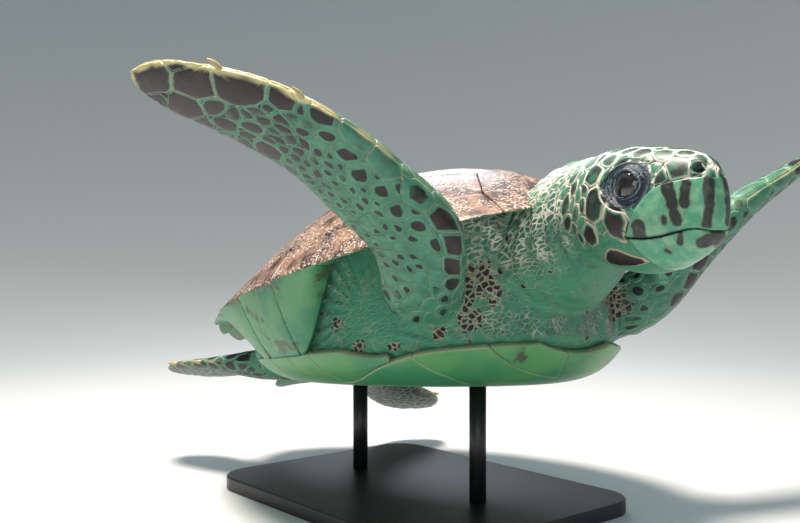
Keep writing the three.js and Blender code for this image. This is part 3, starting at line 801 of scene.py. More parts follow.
mouthLine = sideView(face["mouthLine"])
upperSide = smoothCurve(sideView(face["upperBeak"])) + smoothCurve(mouthLine)[1:]
lowerSide = smoothCurve(sideView(face["lowerBeak"]), 20) + [(-head["length"] * 1.25, -70)]
lowerSide += [(y, z - .5) for y, z in smoothCurve(mouthLine)[:0:-1]]
upperBeak = makeBeak("horny_beak_upper", upperSide, beak["upperStreaks"])
lowerBeak = makeBeak("horny_beak_lower", lowerSide, beak["lowerStreaks"])
for piece in (upperBeak, lowerBeak):
    piece.data.transform(headToBody)
print("beak made")


# Eyes.

def makeEye(name, side):
    centre, outwards, forwards, _ = lidFrame(side)
    look = unit(outwards + .12 * forwards)
    bm = bmesh.new()
    bmesh.ops.create_uvsphere(bm, u_segments=64, v_segments=48, radius=head["eyeRadius"])
    spin = Vector((0, 0, 1)).rotation_difference(Vector(look)).to_matrix().to_4x4()
    bmesh.ops.transform(bm, matrix=Matrix.Translation(centre) @ spin, verts=bm.verts)
    piece = toObject(name, bm)
    facing = unit(meshPlaces(piece.data) - centre) @ look
    setAttribute(piece.data, "fromPupil", np.degrees(np.arccos(np.clip(facing, -1, 1))))
    piece.data.transform(headToBody)
    return piece


eyes = {side: makeEye("eyeball_" + side, sign) for side, sign in (("left", 1), ("right", -1))}


# Plates: each outline becomes a closed tile whose rings step in towards its centre. The rings are pairs of
# share of the way in and height, and the outlines lie in whatever flat map suits the surface.

def rounded(outline, cut=.25):
    # the outline with its corners cut off
    after = np.roll(outline, -1, axis=0)
    return np.stack([mix(outline, after, cut), mix(outline, after, 1 - cut)], 1).reshape(-1, 2)


def evenly(outline, spacing):
    # the outline again with points at an even spacing, its corners kept
    points = []
    for a, b in zip(outline, np.roll(outline, -1, axis=0)):
        n = max(1, int(round(np.linalg.norm(b - a) / spacing)))
        points += [mix(a, b, k / n) for k in range(n)]
    return np.array(points)


def shrunk(outline, distance):
    ahead = unit(np.roll(outline, -1, axis=0) - outline)
    behind = unit(outline - np.roll(outline, 1, axis=0))
    normal = unit(np.stack([-(ahead + behind)[:, 1], (ahead + behind)[:, 0]], 1))
    area = np.sum(outline[:, 0] * np.roll(outline[:, 1], -1) - np.roll(outline[:, 0], -1) * outline[:, 1])
    return outline + normal * distance * (1 if area > 0 else -1)


def tiles(outlines, centres, rings, crown, first=0):
    # returns the bmesh, with each point's share of the way in and its tile's number
    bm = bmesh.new()
    inwards = bm.verts.layers.float.new("inwards")
    number = bm.verts.layers.float.new("tile")
    places = {}
    for i, outline in enumerate(outlines):
        corners = [bm.verts.new((x, y, rings[0][1])) for x, y in outline]
        for v in corners:
            v[number] = i + first
        places[bm.faces.new(corners)] = i
    flat = list(places)
    grown = bmesh.ops.extrude_face_region(bm, geom=flat, use_keep_orig=True)
    tops = [g for g in grown["geom"] if isinstance(g, bmesh.types.BMFace)]
    owner = [round(f.verts[0][number]) - first for f in tops]
    before = rings[0][0]
    for k, (share, height) in enumerate(rings[1:]):
        if k:
            bmesh.ops.inset_individual(bm, faces=tops, thickness=0, depth=0)
        step = (share - before) / (1 - before)
        for f, i in zip(tops, owner):
            cx, cy = centres[i]
            for v in f.verts:
                v.co = (mix(v.co.x, cx, step), mix(v.co.y, cy, step), height)
                v[inwards] = share
                v[number] = i + first
        before = share
    poked = bmesh.ops.poke(bm, faces=tops)
    for v in poked["verts"]:
        v.co.z = crown
        v[inwards] = 1
        v[number] = next(w[number] for w in v.link_faces[0].verts if w is not v)
    bmesh.ops.recalc_face_normals(bm, faces=bm.faces)
    return bm


# Upper shell: vertebral and costal scutes.

scutes = {
    "vertebralSeams": [-158, -52, 56, 156], "sidePoints": [-105, 2, 106], "seamHalfWidth": 38,
    "sideHalfWidth": [84, 80, 70], "rimAngles": [26, 64, 93, 121, 154],
    "spacing": 4.5, "cornerCut": .3, "growthDepth": .22, "growthSpacing": 6.5, "growthPlace": .7,
}
arc = np.linspace(0, 1, 12)


def vertebralOutline(number):
    seams, half = scutes["vertebralSeams"], scutes["seamHalfWidth"]
    if number in (0, 4):
        edge = scutes["rimAngles"][0] if number == 0 else 180 - scutes["rimAngles"][4]
        spread = mix(-edge, edge, arc)
        x, y = onOutline(spread if number == 0 else 180 - spread, shell["rimStart"])
        seam = seams[0] if number == 0 else seams[3]
        return np.vstack([np.stack([x, y], 1), [(half, seam), (-half, seam)]])
    side = scutes["sideHalfWidth"][number - 1]
    middle = scutes["sidePoints"][number - 1]
    front, rear = seams[number - 1], seams[number]
    return np.array([(-half, front), (half, front), (side, middle),
                     (half, rear), (-half, rear), (-side, middle)], float)


def costalOutline(number, sign):
    border = [onOutline(scutes["rimAngles"][0], shell["rimStart"])]
    for i, y in enumerate(scutes["vertebralSeams"]):
        border.append((scutes["seamHalfWidth"], y))
        if i < 3:
            border.append((scutes["sideHalfWidth"][i], scutes["sidePoints"][i]))
    border.append(onOutline(scutes["rimAngles"][4], shell["rimStart"]))
    inner = np.array(border[2 * number:2 * number + 3], float)
    angles = mix(*scutes["rimAngles"][number:number + 2], arc)
    outer = np.stack(onOutline(angles, shell["rimStart"]), 1)[::-1]
    outer = outer[:-1] if number == 0 else outer[1:] if number == 3 else outer
    return np.vstack([inner, outer]) * (sign, 1)


scuteRings = [(0, -shell["plateThickness"]), (0, -.9), (.005, -.4), (.018, -.1), (.04, 0)]
scuteRings += [(share, 0) for share in np.linspace(.04, .97, 26)[1:]]


def makeScute(name, outline):
    outline = rounded(evenly(shrunk(outline, shell["seam"] / 2), scutes["spacing"]), scutes["cornerCut"])
    low, high = outline.min(0), outline.max(0)
    growth = np.array((outline[:, 0].mean(), mix(low[1], high[1], scutes["growthPlace"])))
    bm = tiles([outline], [growth], scuteRings, 0)
    piece = toObject(name, bm)
    mesh = piece.data
    flat = meshPlaces(mesh)
    inwards = np.empty(len(flat))
    mesh.attributes["inwards"].data.foreach_get("value", inwards)
    rear = (flat[:, 1] - low[1]) / (high[1] - low[1])
    offset = flat[:, :2] - growth
    size = np.linalg.norm(high - low) / 2
    ridge = scutes["growthDepth"] * np.cos((1 - inwards) * size / scutes["growthSpacing"] * 2 * math.pi)
    ridge *= ease(inwards, .03, .12)
    lift = flat[:, 2] + np.where(flat[:, 2] > -3, shell["overlapStep"] * rear + ridge, 0)
    setMeshPlaces(mesh, raised(domeZ, flat[:, 0], flat[:, 1], lift))
    ray = np.arctan2(offset[:, 0], -offset[:, 1])
    own = np.full(len(ray), random.random() * 9)
    setAttribute(mesh, "ray", np.stack([ray, 1 - inwards, own], 1), "FLOAT_VECTOR")
    return piece


carapace = {}
for i in range(5):
    carapace[f"shell_vertebral_{i + 1}"] = makeScute(f"scute_vertebral_{i + 1}", vertebralOutline(i))
for side, sign in (("left", 1), ("right", -1)):
    for i in range(4):
        place = f"costal_{side}_{i + 1}"
        carapace["shell_" + place] = makeScute("scute_" + place, costalOutline(i, sign))
print("scutes of the back made")


# Rim: one marginal scute after another, each a wedge whose lower face runs down the flank at the bridge.

rim = {
    "trim": .006, "marginals": 12, "tooth": .03, "edgeThickness": 3, "rootThickness": 20,
    "bridgeFront": (64, 82), "bridgeRear": (98, 126), "seam": .16, "capShare": .16, "rounding": .05,
    "softness": .7,
}


def rimSection():
    # the wedge's cross-section as shares of the way out and up, with its outer edge rounded
    e = rim["rounding"]
    top = [(u, 1) for u in np.linspace(0, 1 - e, 15)]
    edge = [(1 - e + e * math.cos(a), .5 + .5 * math.sin(a)) for a in np.radians(np.linspace(67.5, -67.5, 7))]
    return np.array(top + edge + [(u, 0) for u in np.linspace(1 - e, 0, 15)] + [(0, .35), (0, .7)])


def marginForm(start, end, sign, sawn=True):
    # one scute of the rim between two angles from the front of the shell
    section = rimSection()
    cap = rim["capShare"]

    def at(t, turn):
        u, h = section[np.round(turn / (2 * math.pi) * len(section)).astype(int) % len(section)].T
        full = np.clip(np.minimum(t, 1 - t) / cap, 0, 1)
        u = mix(.5, u, full)
        h = mix(.5, h, full)
        saw = np.clip((t - cap) / (1 - 2 * cap), 0, 1)
        angle = mix(start, end, saw)
        saw = saw if sawn else 0 * saw
        outer = 1 + rim["tooth"] * ease(np.abs(angle), 60, 150) * (saw - .5)
        r = mix(shell["rimStart"] + rim["trim"] / 2, outer, u)
        x, y = onOutline(angle, r)
        levelX, levelY = onOutline(angle, np.minimum(r, 1))
        top = domeZ(levelX, levelY)
        lip = mix(rim["rootThickness"], rim["edgeThickness"], u)
        bridged = bridgeAt(np.abs(angle))
        low = top - mix(lip, top - bellyZ(levelX, levelY) + rim["edgeThickness"], bridged)
        soft = rim["softness"] * (1 - ease(np.minimum(t, 1 - t), cap, cap + .08)) * full
        high = top + shell["overlapStep"] * saw * (1 - u) - soft
        return np.stack([sign * x, y, mix(low + soft * .6, high, h)], -1)
    return lofted(len(section), 34, at)


def bridgeAt(angle):
    return ease(angle, *rim["bridgeFront"]) * (1 - ease(angle, *rim["bridgeRear"]))


def markRim(piece, step):
    mesh = piece.data
    places = meshPlaces(mesh)
    across, ahead = np.abs(places[:, 0]) / shell["halfWidth"], -places[:, 1] / shell["frontLength"]
    along = np.degrees(np.arctan2(across, ahead)) / step
    setAttribute(mesh, "under", ease(-meshNormals(mesh)[:, 2], -.05, .35))
    outwards = reach(places[:, 0], places[:, 1])
    ray = np.stack([along, (outwards - shell["rimStart"]) / .15, np.floor(along) * 2.3], 1)
    setAttribute(mesh, "ray", ray, "FLOAT_VECTOR")


rimPieces = {}
marginStep = (180 - shell["nuchalHalfAngle"]) / rim["marginals"]
for side, sign in (("left", 1), ("right", -1)):
    starts = [shell["nuchalHalfAngle"] + marginStep * i for i in range(rim["marginals"])]
    parts = [marginForm(a + rim["seam"] / 2, a + marginStep - rim["seam"] / 2, sign) for a in starts]
    rimPieces["shell_marginals_" + side] = joined("marginal_scutes_" + side, parts)
nuchalHalf = shell["nuchalHalfAngle"] - rim["seam"] / 2
rimPieces["shell_nuchal"] = toObject("nuchal_scute", marginForm(-nuchalHalf, nuchalHalf, 1, False))
for piece in rimPieces.values():
    faceOutwards(piece.data)
    markRim(piece, marginStep)


# Lower shell. Seams run from the midline to the edge as (share of the half-width, place along the shell).

lowerShell = {
    "seams": [
        [(0, -223), (1, -223)],
        [(0, -190), (.5, -197), (1, -201)],
        [(0, -126), (.35, -138), (.7, -154), (1, -147)],
        [(0, -42), (.5, -47), (1, -40)],
        [(0, 50), (.5, 48), (1, 60)],
        [(0, 118), (.5, 126), (1, 140)],
        [(0, 193), (1, 193)],
    ],
    "intergular": 15, "gap": .7, "spacing": 5, "cornerCut": .3, "inframarginals": [-126, -41, -2, 38, 78],
    "axillary": (-134, -80), "axillaryWidth": 5, "smudge": ((-64, -208), 13),
}
lowerRings = [(0, -6), (0, -.8), (.006, -.35), (.018, -.1), (.04, 0)]
lowerRings += [(share, 0) for share in np.linspace(.04, .96, 12)[1:]]


def plastronHalf(y):
    return through(plastronShape["halfWidths"], y)


def seamLine(line):
    share, y = np.array(line, float).T
    places = np.linspace(0, 1, 9)
    along = np.interp(places, share, y)
    return np.stack([places * plastronHalf(along), along], 1)


def lowerOutline(number, sign):
    front, rear = (seamLine(lowerShell["seams"][number + k]) for k in (0, 1))
    edge = np.linspace(front[-1, 1], rear[-1, 1], 14)[1:-1]
    if number == 0:
        front = np.vstack([[(0, -194), (lowerShell["intergular"], -223)], front[front[:, 0] > 20]])
    outline = np.vstack([front, np.stack([plastronHalf(edge), edge], 1), rear[::-1]])
    return outline * (sign, 1)


def bridgeOutline(number, sign):
    # the first plate narrows forwards into the armpit
    y = np.linspace(lowerShell["inframarginals"][number], lowerShell["inframarginals"][number + 1], 12)
    length = np.where(y < 0, shell["frontLength"], shell["rearLength"])
    angle = np.degrees(np.arccos(-y / (shell["rimStart"] * length)))
    inner = plastronHalf(y) + .5
    across = onOutline(angle, shell["rimStart"])[0] - .5 - inner
    outer = inner + mix(lowerShell["axillaryWidth"], across, ease(y, *lowerShell["axillary"]))
    return np.vstack([np.stack([inner, y], 1), np.stack([outer, y], 1)[::-1]]) * (sign, 1)


def makeLower(name, outlines):
    outlines = [evenly(shrunk(o, lowerShell["gap"] / 2), lowerShell["spacing"]) for o in outlines]
    outlines = [rounded(o, lowerShell["cornerCut"]) for o in outlines]
    bm = tiles(outlines, [o.mean(0) for o in outlines], lowerRings, 0)
    piece = toObject(name, bm)
    mesh = piece.data
    flat = meshPlaces(mesh)
    setMeshPlaces(mesh, raised(bellyZ, flat[:, 0], flat[:, 1], -flat[:, 2]))
    place, radius = lowerShell["smudge"]
    setAttribute(mesh, "smudge", 1 - ease(np.linalg.norm(flat[:, :2] - place, axis=1), 0, radius))
    mesh.flip_normals()
    return piece


lowerPieces = {}
halves = [lowerOutline(i, sign) for i in range(6) for sign in (1, -1)]
intergular = np.array([(-lowerShell["intergular"], -223), (lowerShell["intergular"], -223), (0, -194)], float)
lowerPieces["plastron"] = makeLower("plastron_scutes", halves + [intergular])
for side, sign in (("left", 1), ("right", -1)):
    outlines = [bridgeOutline(i, sign) for i in range(4)]
    lowerPieces["bridge_" + side] = makeLower("inframarginal_scutes_" + side, outlines)
print("rim and lower shell made")


# Claws.

clawSize = {"length": 13, "radius": 3.2, "tipRadius": .8}


def clawForm(limb, share):
    share = np.array([share])
    middle, ahead, _, tangent = (v[0] for v in limbAxes(limb, share))
    root = middle + ahead * (through(limb["lead"], share)[0] - 3)
    tip = root + ahead * clawSize["length"] * .52 + tangent * clawSize["length"] * .95
    line = [root, mix(root, tip, .5) + ahead * 1.6, tip]

    def at(t, turn):
        along = spineTangent(line, t)
        across = unit(np.cross(along, (0, 0, 1.0)))
        half = roundEnd(t, .3, .2) * mix(clawSize["radius"], clawSize["tipRadius"], t)
        wide = across * (.8 * half * np.cos(turn))[:, None]
        return alongSpine(line, t) + wide + np.cross(across, along) * (half * np.sin(turn))[:, None]
    return lofted(28, 24, at)


claws = {}
for name, limb in limbs.items():
    for i, share in enumerate(limb["clawShares"]):
        node = name.replace("flipper", f"claw_{i + 1}")
        claws[node] = toObject("horn_" + node, clawForm(limb, share))


# Stand: a low base with rounded corners, and two rods that end under the lower shell.

stand = {
    "width": 300, "length": 400, "thickness": 16, "corner": 40, "bevel": 2,
    "rodRadius": 9, "rods": (-100, 105),
}


def makeBase():
    bm = bmesh.new()
    corners = []
    for k, (sx, sy) in enumerate([(1, 1), (-1, 1), (-1, -1), (1, -1)]):
        for a in np.radians(np.linspace(0, 90, 17) + 90 * k):
            x = sx * (stand["width"] / 2 - stand["corner"]) + stand["corner"] * math.cos(a)
            y = sy * (stand["length"] / 2 - stand["corner"]) + stand["corner"] * math.sin(a)
            corners.append(bm.verts.new((x, y, 0)))
    floor = bm.faces.new(corners)
    grown = bmesh.ops.extrude_face_region(bm, geom=[floor], use_keep_orig=True)
    top = [g for g in grown["geom"] if isinstance(g, bmesh.types.BMVert)]
    bmesh.ops.translate(bm, vec=(0, 0, stand["thickness"]), verts=top)
    bmesh.ops.recalc_face_normals(bm, faces=bm.faces)
    rims = [e for e in bm.edges if len({len(f.verts) > 4 for f in e.link_faces}) == 2]
    bmesh.ops.bevel(bm, geom=rims, offset=stand["bevel"], segments=4, profile=.5, affect="EDGES", material=-1)
    underShell = Matrix.Translation((baseMiddle.x / mm, baseMiddle.y / mm, 0))
    bmesh.ops.transform(bm, matrix=underShell, verts=bm.verts)
    return toObject("stand_plinth", bm, smooth=False)


def makeRod(name, y):
    bm = bmesh.new()
    radius = stand["rodRadius"]
    bmesh.ops.create_cone(bm, cap_ends=True, segments=64, radius1=radius, radius2=radius, depth=2)
    into = bodyToModel.inverted()
    shift = Vector((shellPlace.x / mm, shellPlace.y / mm + y, 0))
    for v in bm.verts:
        top = v.co.z > 0
        v.co += shift
        v.co.z = 150 if top else stand["thickness"] - .2
        for _ in range(6 if top else 0):
            p = into @ (v.co * mm)
            v.co.z += float(bellyZ(np.array(p.x), np.array(p.y)) - p.z) - .1
    bmesh.ops.recalc_face_normals(bm, faces=bm.faces)
    return toObject(name, bm)


plinth = makeBase()
rods = {side: makeRod("stand_post_" + side, y) for side, y in zip(("front", "rear"), stand["rods"])}
print("claws and stand made")


# Scales. Each region has a flat map: U runs along it and V round it, with V = 0 on the leading edge of a
# limb or the midline of the head. Large scales are placed one by one and small ones fill what is left.
# A placed scale is (share of the length, degrees round, half-size, darkness, pale margin's share of it).

scaleSettings = {
    "candidates": 7000, "packing": .84, "seam": .8, "base": -1.0, "small": 9, "spacing": 3, "cornerCut": .28,
    "patch": .003, "widest": 30, "unwrap": 1200, "upper": (-.1, .7),
}
frontScales = [
    (.935, 292, 15, 1, .05), (.832, 298, 14, 1, .05), (.742, 314, 16, 1, .06), (.655, 324, 9, 1, .15),
    (.618, 324, 5, 1, .25), (.583, 334, 9, 1, .3), (.515, 342, 10, .35, .2), (.438, 338, 12, .35, .2),
    (.355, 332, 11.5, .8, .45), (.302, 328, 10, 1, .2), (.262, 316, 9.5, 1, .15), (.226, 304, 9, 1, .15),
    (.19, 296, 8, 1, .2), (.557, 312, 7, 1, .35), (.51, 304, 9, 1, .4), (.466, 292, 9.5, 1, .4),
    (.408, 294, 8.5, 1, .42), (.366, 284, 7.5, 1, .42), (.325, 290, 6.5, 1, .4), (.872, 244, 13, 1, .05),
    (.768, 240, 8, 1, .1), (.65, 234, 11, 1, .12), (.575, 220, 7, .8, .25), (.28, 292, 5.5, 1, .4),
    (.5, 212, 6, .6, .3), (.43, 206, 6, .5, .3), (.7, 262, 7, 1, .2), (.79, 268, 8, 1, .15),
]
hindScales = [(.9, 300, 11, 1, .14), (.78, 318, 9, 1, .16), (.66, 322, 8.5, 1, .18), (.54, 326, 8, 1, .2),
              (.42, 326, 7.5, 1, .25), (.88, 230, 10, 1, .16), (.72, 222, 8, 1, .2), (.55, 216, 7, 1, .25)]
headScales = [
    (.366, 60, 11, .75, .2), (.184, 74, 8, .75, .25), (.424, 86, 12, .85, .2), (.118, 88, 8, .7, .3),
    (.126, 110, 7, .8, .35), (.374, 114, 10, 1, .26), (.573, 100, 12.5, 1, .26), (.25, 96, 7, .55, .4),
    (.407, 42, 8, .6, .3), (.835, 44, 10, .75, .22), (.705, 25, 9, .7, .25), (.905, 13, 8, .75, .25),
    (.8, 13, 8.5, .7, .25), (.585, 27, 9, .7, .25), (.36, 17, 11, .75, .2), (.47, 22, 8, .7, .25),
    (.255, 42, 9, .7, .25), (.13, 24, 8, .7, .3), (.12, 56, 8, .7, .3), (.24, 16, 8, .7, .3),
    (.455, 62, 6, .6, .35), (.26, 122, 6, .8, .45), (.2, 130, 5, .7, .5), (.96, 12, 6, .6, .3),
]
headMidScales = [(.7, 0, 11, .75, .22), (.54, 0, 10, .75, .22), (.27, 0, 7, .7, .3), (.1, 0, 8, .6, .3)]
cheekPatch = [(.385, 149), (.4, 141), (.45, 130), (.5, 123.5), (.56, 124),
              (.62, 131), (.69, 139), (.735, 145), (.6, 148), (.48, 151)]


def limbToFlat(limb, t, turn):
    table = limb["table"]
    turn = np.where(turn > math.pi, turn - 2 * math.pi, turn)
    share = fromGrid(table["shareAt"], t, np.abs(turn) / math.pi)
    girth = np.interp(t, table["t"], table["halfGirth"])
    return np.stack([np.interp(t, table["t"], table["along"]), np.sign(turn) * share * girth], 1)


def limbFromFlat(limb, flat):
    table = limb["table"]
    t = np.interp(flat[:, 0], table["along"], table["t"])
    girth = np.interp(t, table["t"], table["halfGirth"])
    turn = turnFromShare(table, t, np.minimum(np.abs(flat[:, 1]) / girth, 1)) * np.sign(flat[:, 1])
    return limbPoint(limb, t, turn, 2)


def headHalfGirth(t):
    return through([(0, 95), (.1, 122), (.28, 150), (.48, 152), (.62, 140), (.76, 122), (.9, 92), (1, 40)], t)


def headToFlat(t, down):
    return np.stack([np.asarray(t) * head["length"], np.asarray(down) / 180 * headHalfGirth(t)], 1)


def headFromFlat(flat):
    t = np.clip(flat[:, 0] / head["length"], 0, 1)
    return headPoint(t, np.radians(90 - flat[:, 1] / headHalfGirth(t) * 180), 1.5)


def headOnBody(flat):
    return transformed(headToBody, headFromFlat(flat))


def scattered(where, radius, bounds, allowed, size, seed):
    # small seeds at random, no two closer than their sizes allow
    rng = np.random.default_rng(seed)
    spots = rng.uniform(*bounds, (scaleSettings["candidates"], 2))
    spots = spots[allowed(spots)]
    for spot, own in zip(spots, size(spots)):
        if np.all(((where - spot) ** 2).sum(1) > ((radius + own) * scaleSettings["packing"]) ** 2):
            where = np.vstack([where, spot])
            radius = np.append(radius, own)
    return where, radius


def cellAround(i, where, radius, order, seam):
    # the part of the flat map that belongs to seed i, weighed by size and drawn in by half a seam
    x, y = where[i]
    out = radius[i] * 1.7
    cell = [(out * math.cos(a), out * math.sin(a)) for a in np.linspace(0, 2 * math.pi, 15)[:-1]]
    for j in order:
        dx, dy = where[j][0] - x, where[j][1] - y
        distance = math.hypot(dx, dy)
        limit = (distance ** 2 + radius[i] ** 2 - radius[j] ** 2) / (2 * distance) - seam / 2
        if limit > out:
            continue
        nx, ny = dx / distance, dy / distance
        kept = []
        for k, (ax, ay) in enumerate(cell):
            bx, by = cell[(k + 1) % len(cell)]
            a, b = ax * nx + ay * ny - limit, bx * nx + by * ny - limit
            if a <= 0:
                kept.append((ax, ay))
            if (a < 0) != (b < 0):
                u = a / (a - b)
                kept.append((ax + (bx - ax) * u, ay + (by - ay) * u))
        cell = kept
        if len(cell) < 3:
            return None
    return np.array(cell) + (x, y)


def trimmed(outlines, centres, clear):
    # outlines drawn in towards their centres until every point is clear of what lies in the way
    counts = [len(o) for o in outlines]
    points = np.vstack(outlines)
    middle = np.repeat(np.array(centres), counts, axis=0)
    low, high = np.zeros(len(points)), np.ones(len(points))
    fine = clear(points)
    for _ in range(9):
        half = (low + high) / 2
        ok = clear(mix(middle, points, half[:, None]))
        low, high = np.where(ok, half, low), np.where(ok, high, half)
    points = mix(middle, points, np.where(fine, 1, low)[:, None])
    return np.split(points, np.cumsum(counts)[:-1])


def makeRegion(placed, bounds, allowed, size, stretch, seed, look, lead, seamShare):
    # seeds and cells of a region; scales longer than wide come from squeezing the map along U
    squeeze = np.array((1 / stretch, 1.0))
    known = np.array(placed, float)
    squeezed = tuple(np.array(b, float) * squeeze for b in bounds)
    where, radius = scattered(known[:, :2] * squeeze, known[:, 2], squeezed,
                              lambda p: allowed(p / squeeze), lambda p: size(p / squeeze), seed)
    extra = look(where[len(known):] / squeeze, np.random.default_rng(seed + 1))
    tone = np.concatenate([known[:, 3], extra[0]])
    margin = np.concatenate([known[:, 4], extra[1]])
    apart = ((where[:, None] - where[None]) ** 2).sum(2)
    order = np.argsort(apart, 1)[:, 1:26]
    centres, outlines, kept = [], [], []
    for i in range(len(where)):
        if tone[i] < 0:
            continue
        cell = cellAround(i, where, radius, order[i], scaleSettings["seam"])
        if cell is None or np.ptp(cell, axis=0).min() < 2:
            continue
        if radius[i] >= scaleSettings["small"]:
            outline = evenly(cell, scaleSettings["spacing"])
        else:
            outline = cell
        outlines.append(rounded(outline, scaleSettings["cornerCut"]) / squeeze)
        centres.append(cell.mean(0) / squeeze)
        kept.append(i)
    return {"seeds": where, "squeeze": squeeze, "radius": radius, "tone": tone, "margin": margin,
            "outlines": outlines, "centres": centres, "kept": kept, "lead": lead, "seamShare": seamShare}


smallRings = [(0, scaleSettings["base"]), (0, .1), (.1, .42), (.4, .62)]
largeRings = [(0, scaleSettings["base"]), (0, .1), (.06, .42), (.16, .66)]
largeRings += [(.34, .74), (.52, .78), (.7, .8), (.85, .8)]


def onSkin(points, height):
    # each point set on the skin and raised by its height, how far it moved, and how much the skin faces up
    places = np.empty_like(points)
    gap, up = np.empty((2, len(points)))
    for k, point in enumerate(points):
        spot, normal, _, distance = skinTree.find_nearest(Vector(point))
        places[k] = spot + normal * float(height[k])
        gap[k] = distance
        up[k] = normal.z
    return places, gap, up


def hiddenByShell(points):
    x, y, z = points.T
    return (reach(x, y) < .86) & (z < domeZ(x, y)) & (z > bellyZ(x, y) - 4)


def makeScales(name, region, fromFlat, corner):
    roots = fromFlat(np.array(region["centres"]))
    placed, gap, _ = onSkin(roots, np.zeros(len(roots)))
    keep = (gap < 6) & ~hiddenByShell(placed)
    order, parts = [], []
    for large, rings in ((False, smallRings), (True, largeRings)):
        ids = [k for k, i in enumerate(region["kept"])
               if keep[k] and (region["radius"][i] >= scaleSettings["small"]) == large]
        outlines, centres = [region["outlines"][k] for k in ids], [region["centres"][k] for k in ids]
        if ids:
            parts.append(tiles(outlines, centres, rings, rings[-1][1] + .02, len(order)))
        order += ids
    piece = joined(name, parts)
    mesh = piece.data
    flat = meshPlaces(mesh)
    number = np.empty(len(flat), np.float32)
    mesh.attributes["tile"].data.foreach_get("value", number)
    ids = np.array(order)[np.round(number).astype(int)]
    seeds = np.array(region["kept"])[ids]
    centres = np.array(region["centres"])[ids]
    places, _, up = onSkin(fromFlat(flat[:, :2]), flat[:, 2])
    setMeshPlaces(mesh, places)
    # how much the skin faces up, which sets the painted highlight on the seams
    setAttribute(mesh, "upper", ease(up, *scaleSettings["upper"]))
    setAttribute(mesh, "seamShare", np.full(len(flat), region["seamShare"]))
    setAttribute(mesh, "tone", region["tone"][seeds])
    setAttribute(mesh, "margin", region["margin"][seeds])
    setAttribute(mesh, "lead", region["lead"](flat[:, :2]))
    # each scale has a small patch of its own at its root's place on the unwrapped skin
    within = np.clip((flat[:, :2] - centres) / scaleSettings["widest"], -.5, .5)
    uv = corner + centres / scaleSettings["unwrap"] + scaleSettings["patch"] * within
    points = np.empty(len(mesh.loops), np.int32)
    mesh.loops.foreach_get("vertex_index", points)
    mesh.uv_layers.new(name="OFBake").data.foreach_set("uv", uv[points].astype(np.float32).ravel())
    faceOutwards(mesh)
    print(name, len(order), "scales,", triangleCount(mesh), "triangles")
    return piece


leadStrength = {
    "front_flipper_right": 1, "front_flipper_left": .45, "hind_flipper_right": .2, "hind_flipper_left": .2,
}


def limbRegion(name):
    front = "front" in name
    limb = limbs[name]
    table = limb["table"]

    def shareAlong(flat):
        return np.interp(flat[:, 0], table["along"], table["t"])

    def shareRound(flat):
        # 0 on the leading edge and 1 on the trailing edge
        return np.abs(flat[:, 1]) / np.interp(shareAlong(flat), table["t"], table["halfGirth"])

    def size(flat):
        t = shareAlong(flat)
        edge = ease(np.abs(shareRound(flat) - .5), .25, .48)
        if not front:
            return 4.2 + 2.4 * ease(t, .6, .95) + 1.6 * edge
        return 4.1 + 1.8 * ease(.32 - t, 0, .2) + 3.6 * ease(t, .62, .92) + 2 * edge

    def look(flat, rng):
        t = shareAlong(flat)
        if not front:
            return np.clip(rng.normal(.95, .1, len(t)), .6, 1), np.full(len(t), .22)
        darkShare = mix(.55, .95, ease(t, .25, .55))
        darkness = np.where(rng.random(len(t)) < darkShare, rng.normal(.9, .12, len(t)), .25)
        return np.clip(darkness, 0, 1), mix(.5, .12, ease(t, .35, .75)) + rng.normal(0, .04, len(t))

    def allowed(flat):
        return shareRound(flat) < .985

    def lead(flat):
        # the pale strip along the leading edge and round the tip
        end = table["along"][-1]
        t = shareAlong(flat)
        wander = 1.2 * np.sin(flat[:, 0] / 9) + .8 * np.sin(flat[:, 0] / 3.7)
        width = mix(.6, 3.6, ease(t, .5, .72))
        edge = (1 - ease(np.abs(flat[:, 1]) + wander, width, width + 2.6)) * ease(t, .3, .6)
        return leadStrength[name] * np.maximum(edge, ease(flat[:, 0] + wander, end - 9, end - 4))

    scales = frontScales if front else hindScales
    placed = []
    for mirrored in (False, True):
        for t, degrees, radius, tone, margin in scales:
            turn = rad(360 - degrees if mirrored else degrees)
            flat = limbToFlat(limb, np.array([t]), np.array([turn]))[0]
            placed.append((*flat, radius, tone, margin))
    along, girth = table["along"], table["halfGirth"].max()
    low = np.interp(.1 if front else .3, table["t"], along)
    bounds = ((low, -girth), (along[-1] * .985, girth))
    return makeRegion(placed, bounds, allowed, size, 1.35 if front else 1.2, 11 + len(name), look, lead, .06)


def headClear(flat):
    # off the beak, the lids and the nostrils
    t = np.clip(flat[:, 0] / head["length"], 0, 1)
    spots = headPoint(t, np.radians(90 - flat[:, 1] / headHalfGirth(t) * 180))
    y, z = spots[:, 1], spots[:, 2]
    beakEdge = np.minimum(distanceToLine(face["upperBeak"], y, z), distanceToLine(face["lowerBeak"], y, z))
    clear = ~(insideOutline(upperBeakOutline, y, z) | insideOutline(lowerBeakOutline, y, z)) & (beakEdge > .7)
    for side in (1, -1):
        centre, outwards, forwards, up = lidFrame(side)
        offset = spots - centre
        d = np.hypot(offset @ forwards / face["openingWidth"], offset @ up / face["openingHeight"]) * 10
        clear &= (d > face["lidRadius"] + .3) | (offset @ outwards < 0)
        fromHole = np.linalg.norm(spots - headSpot(*face["nostril"], side), axis=1)
        clear &= fromHole > face["nostrilRadius"] + 1.6
    return clear & (t > .03) & (t < .985)


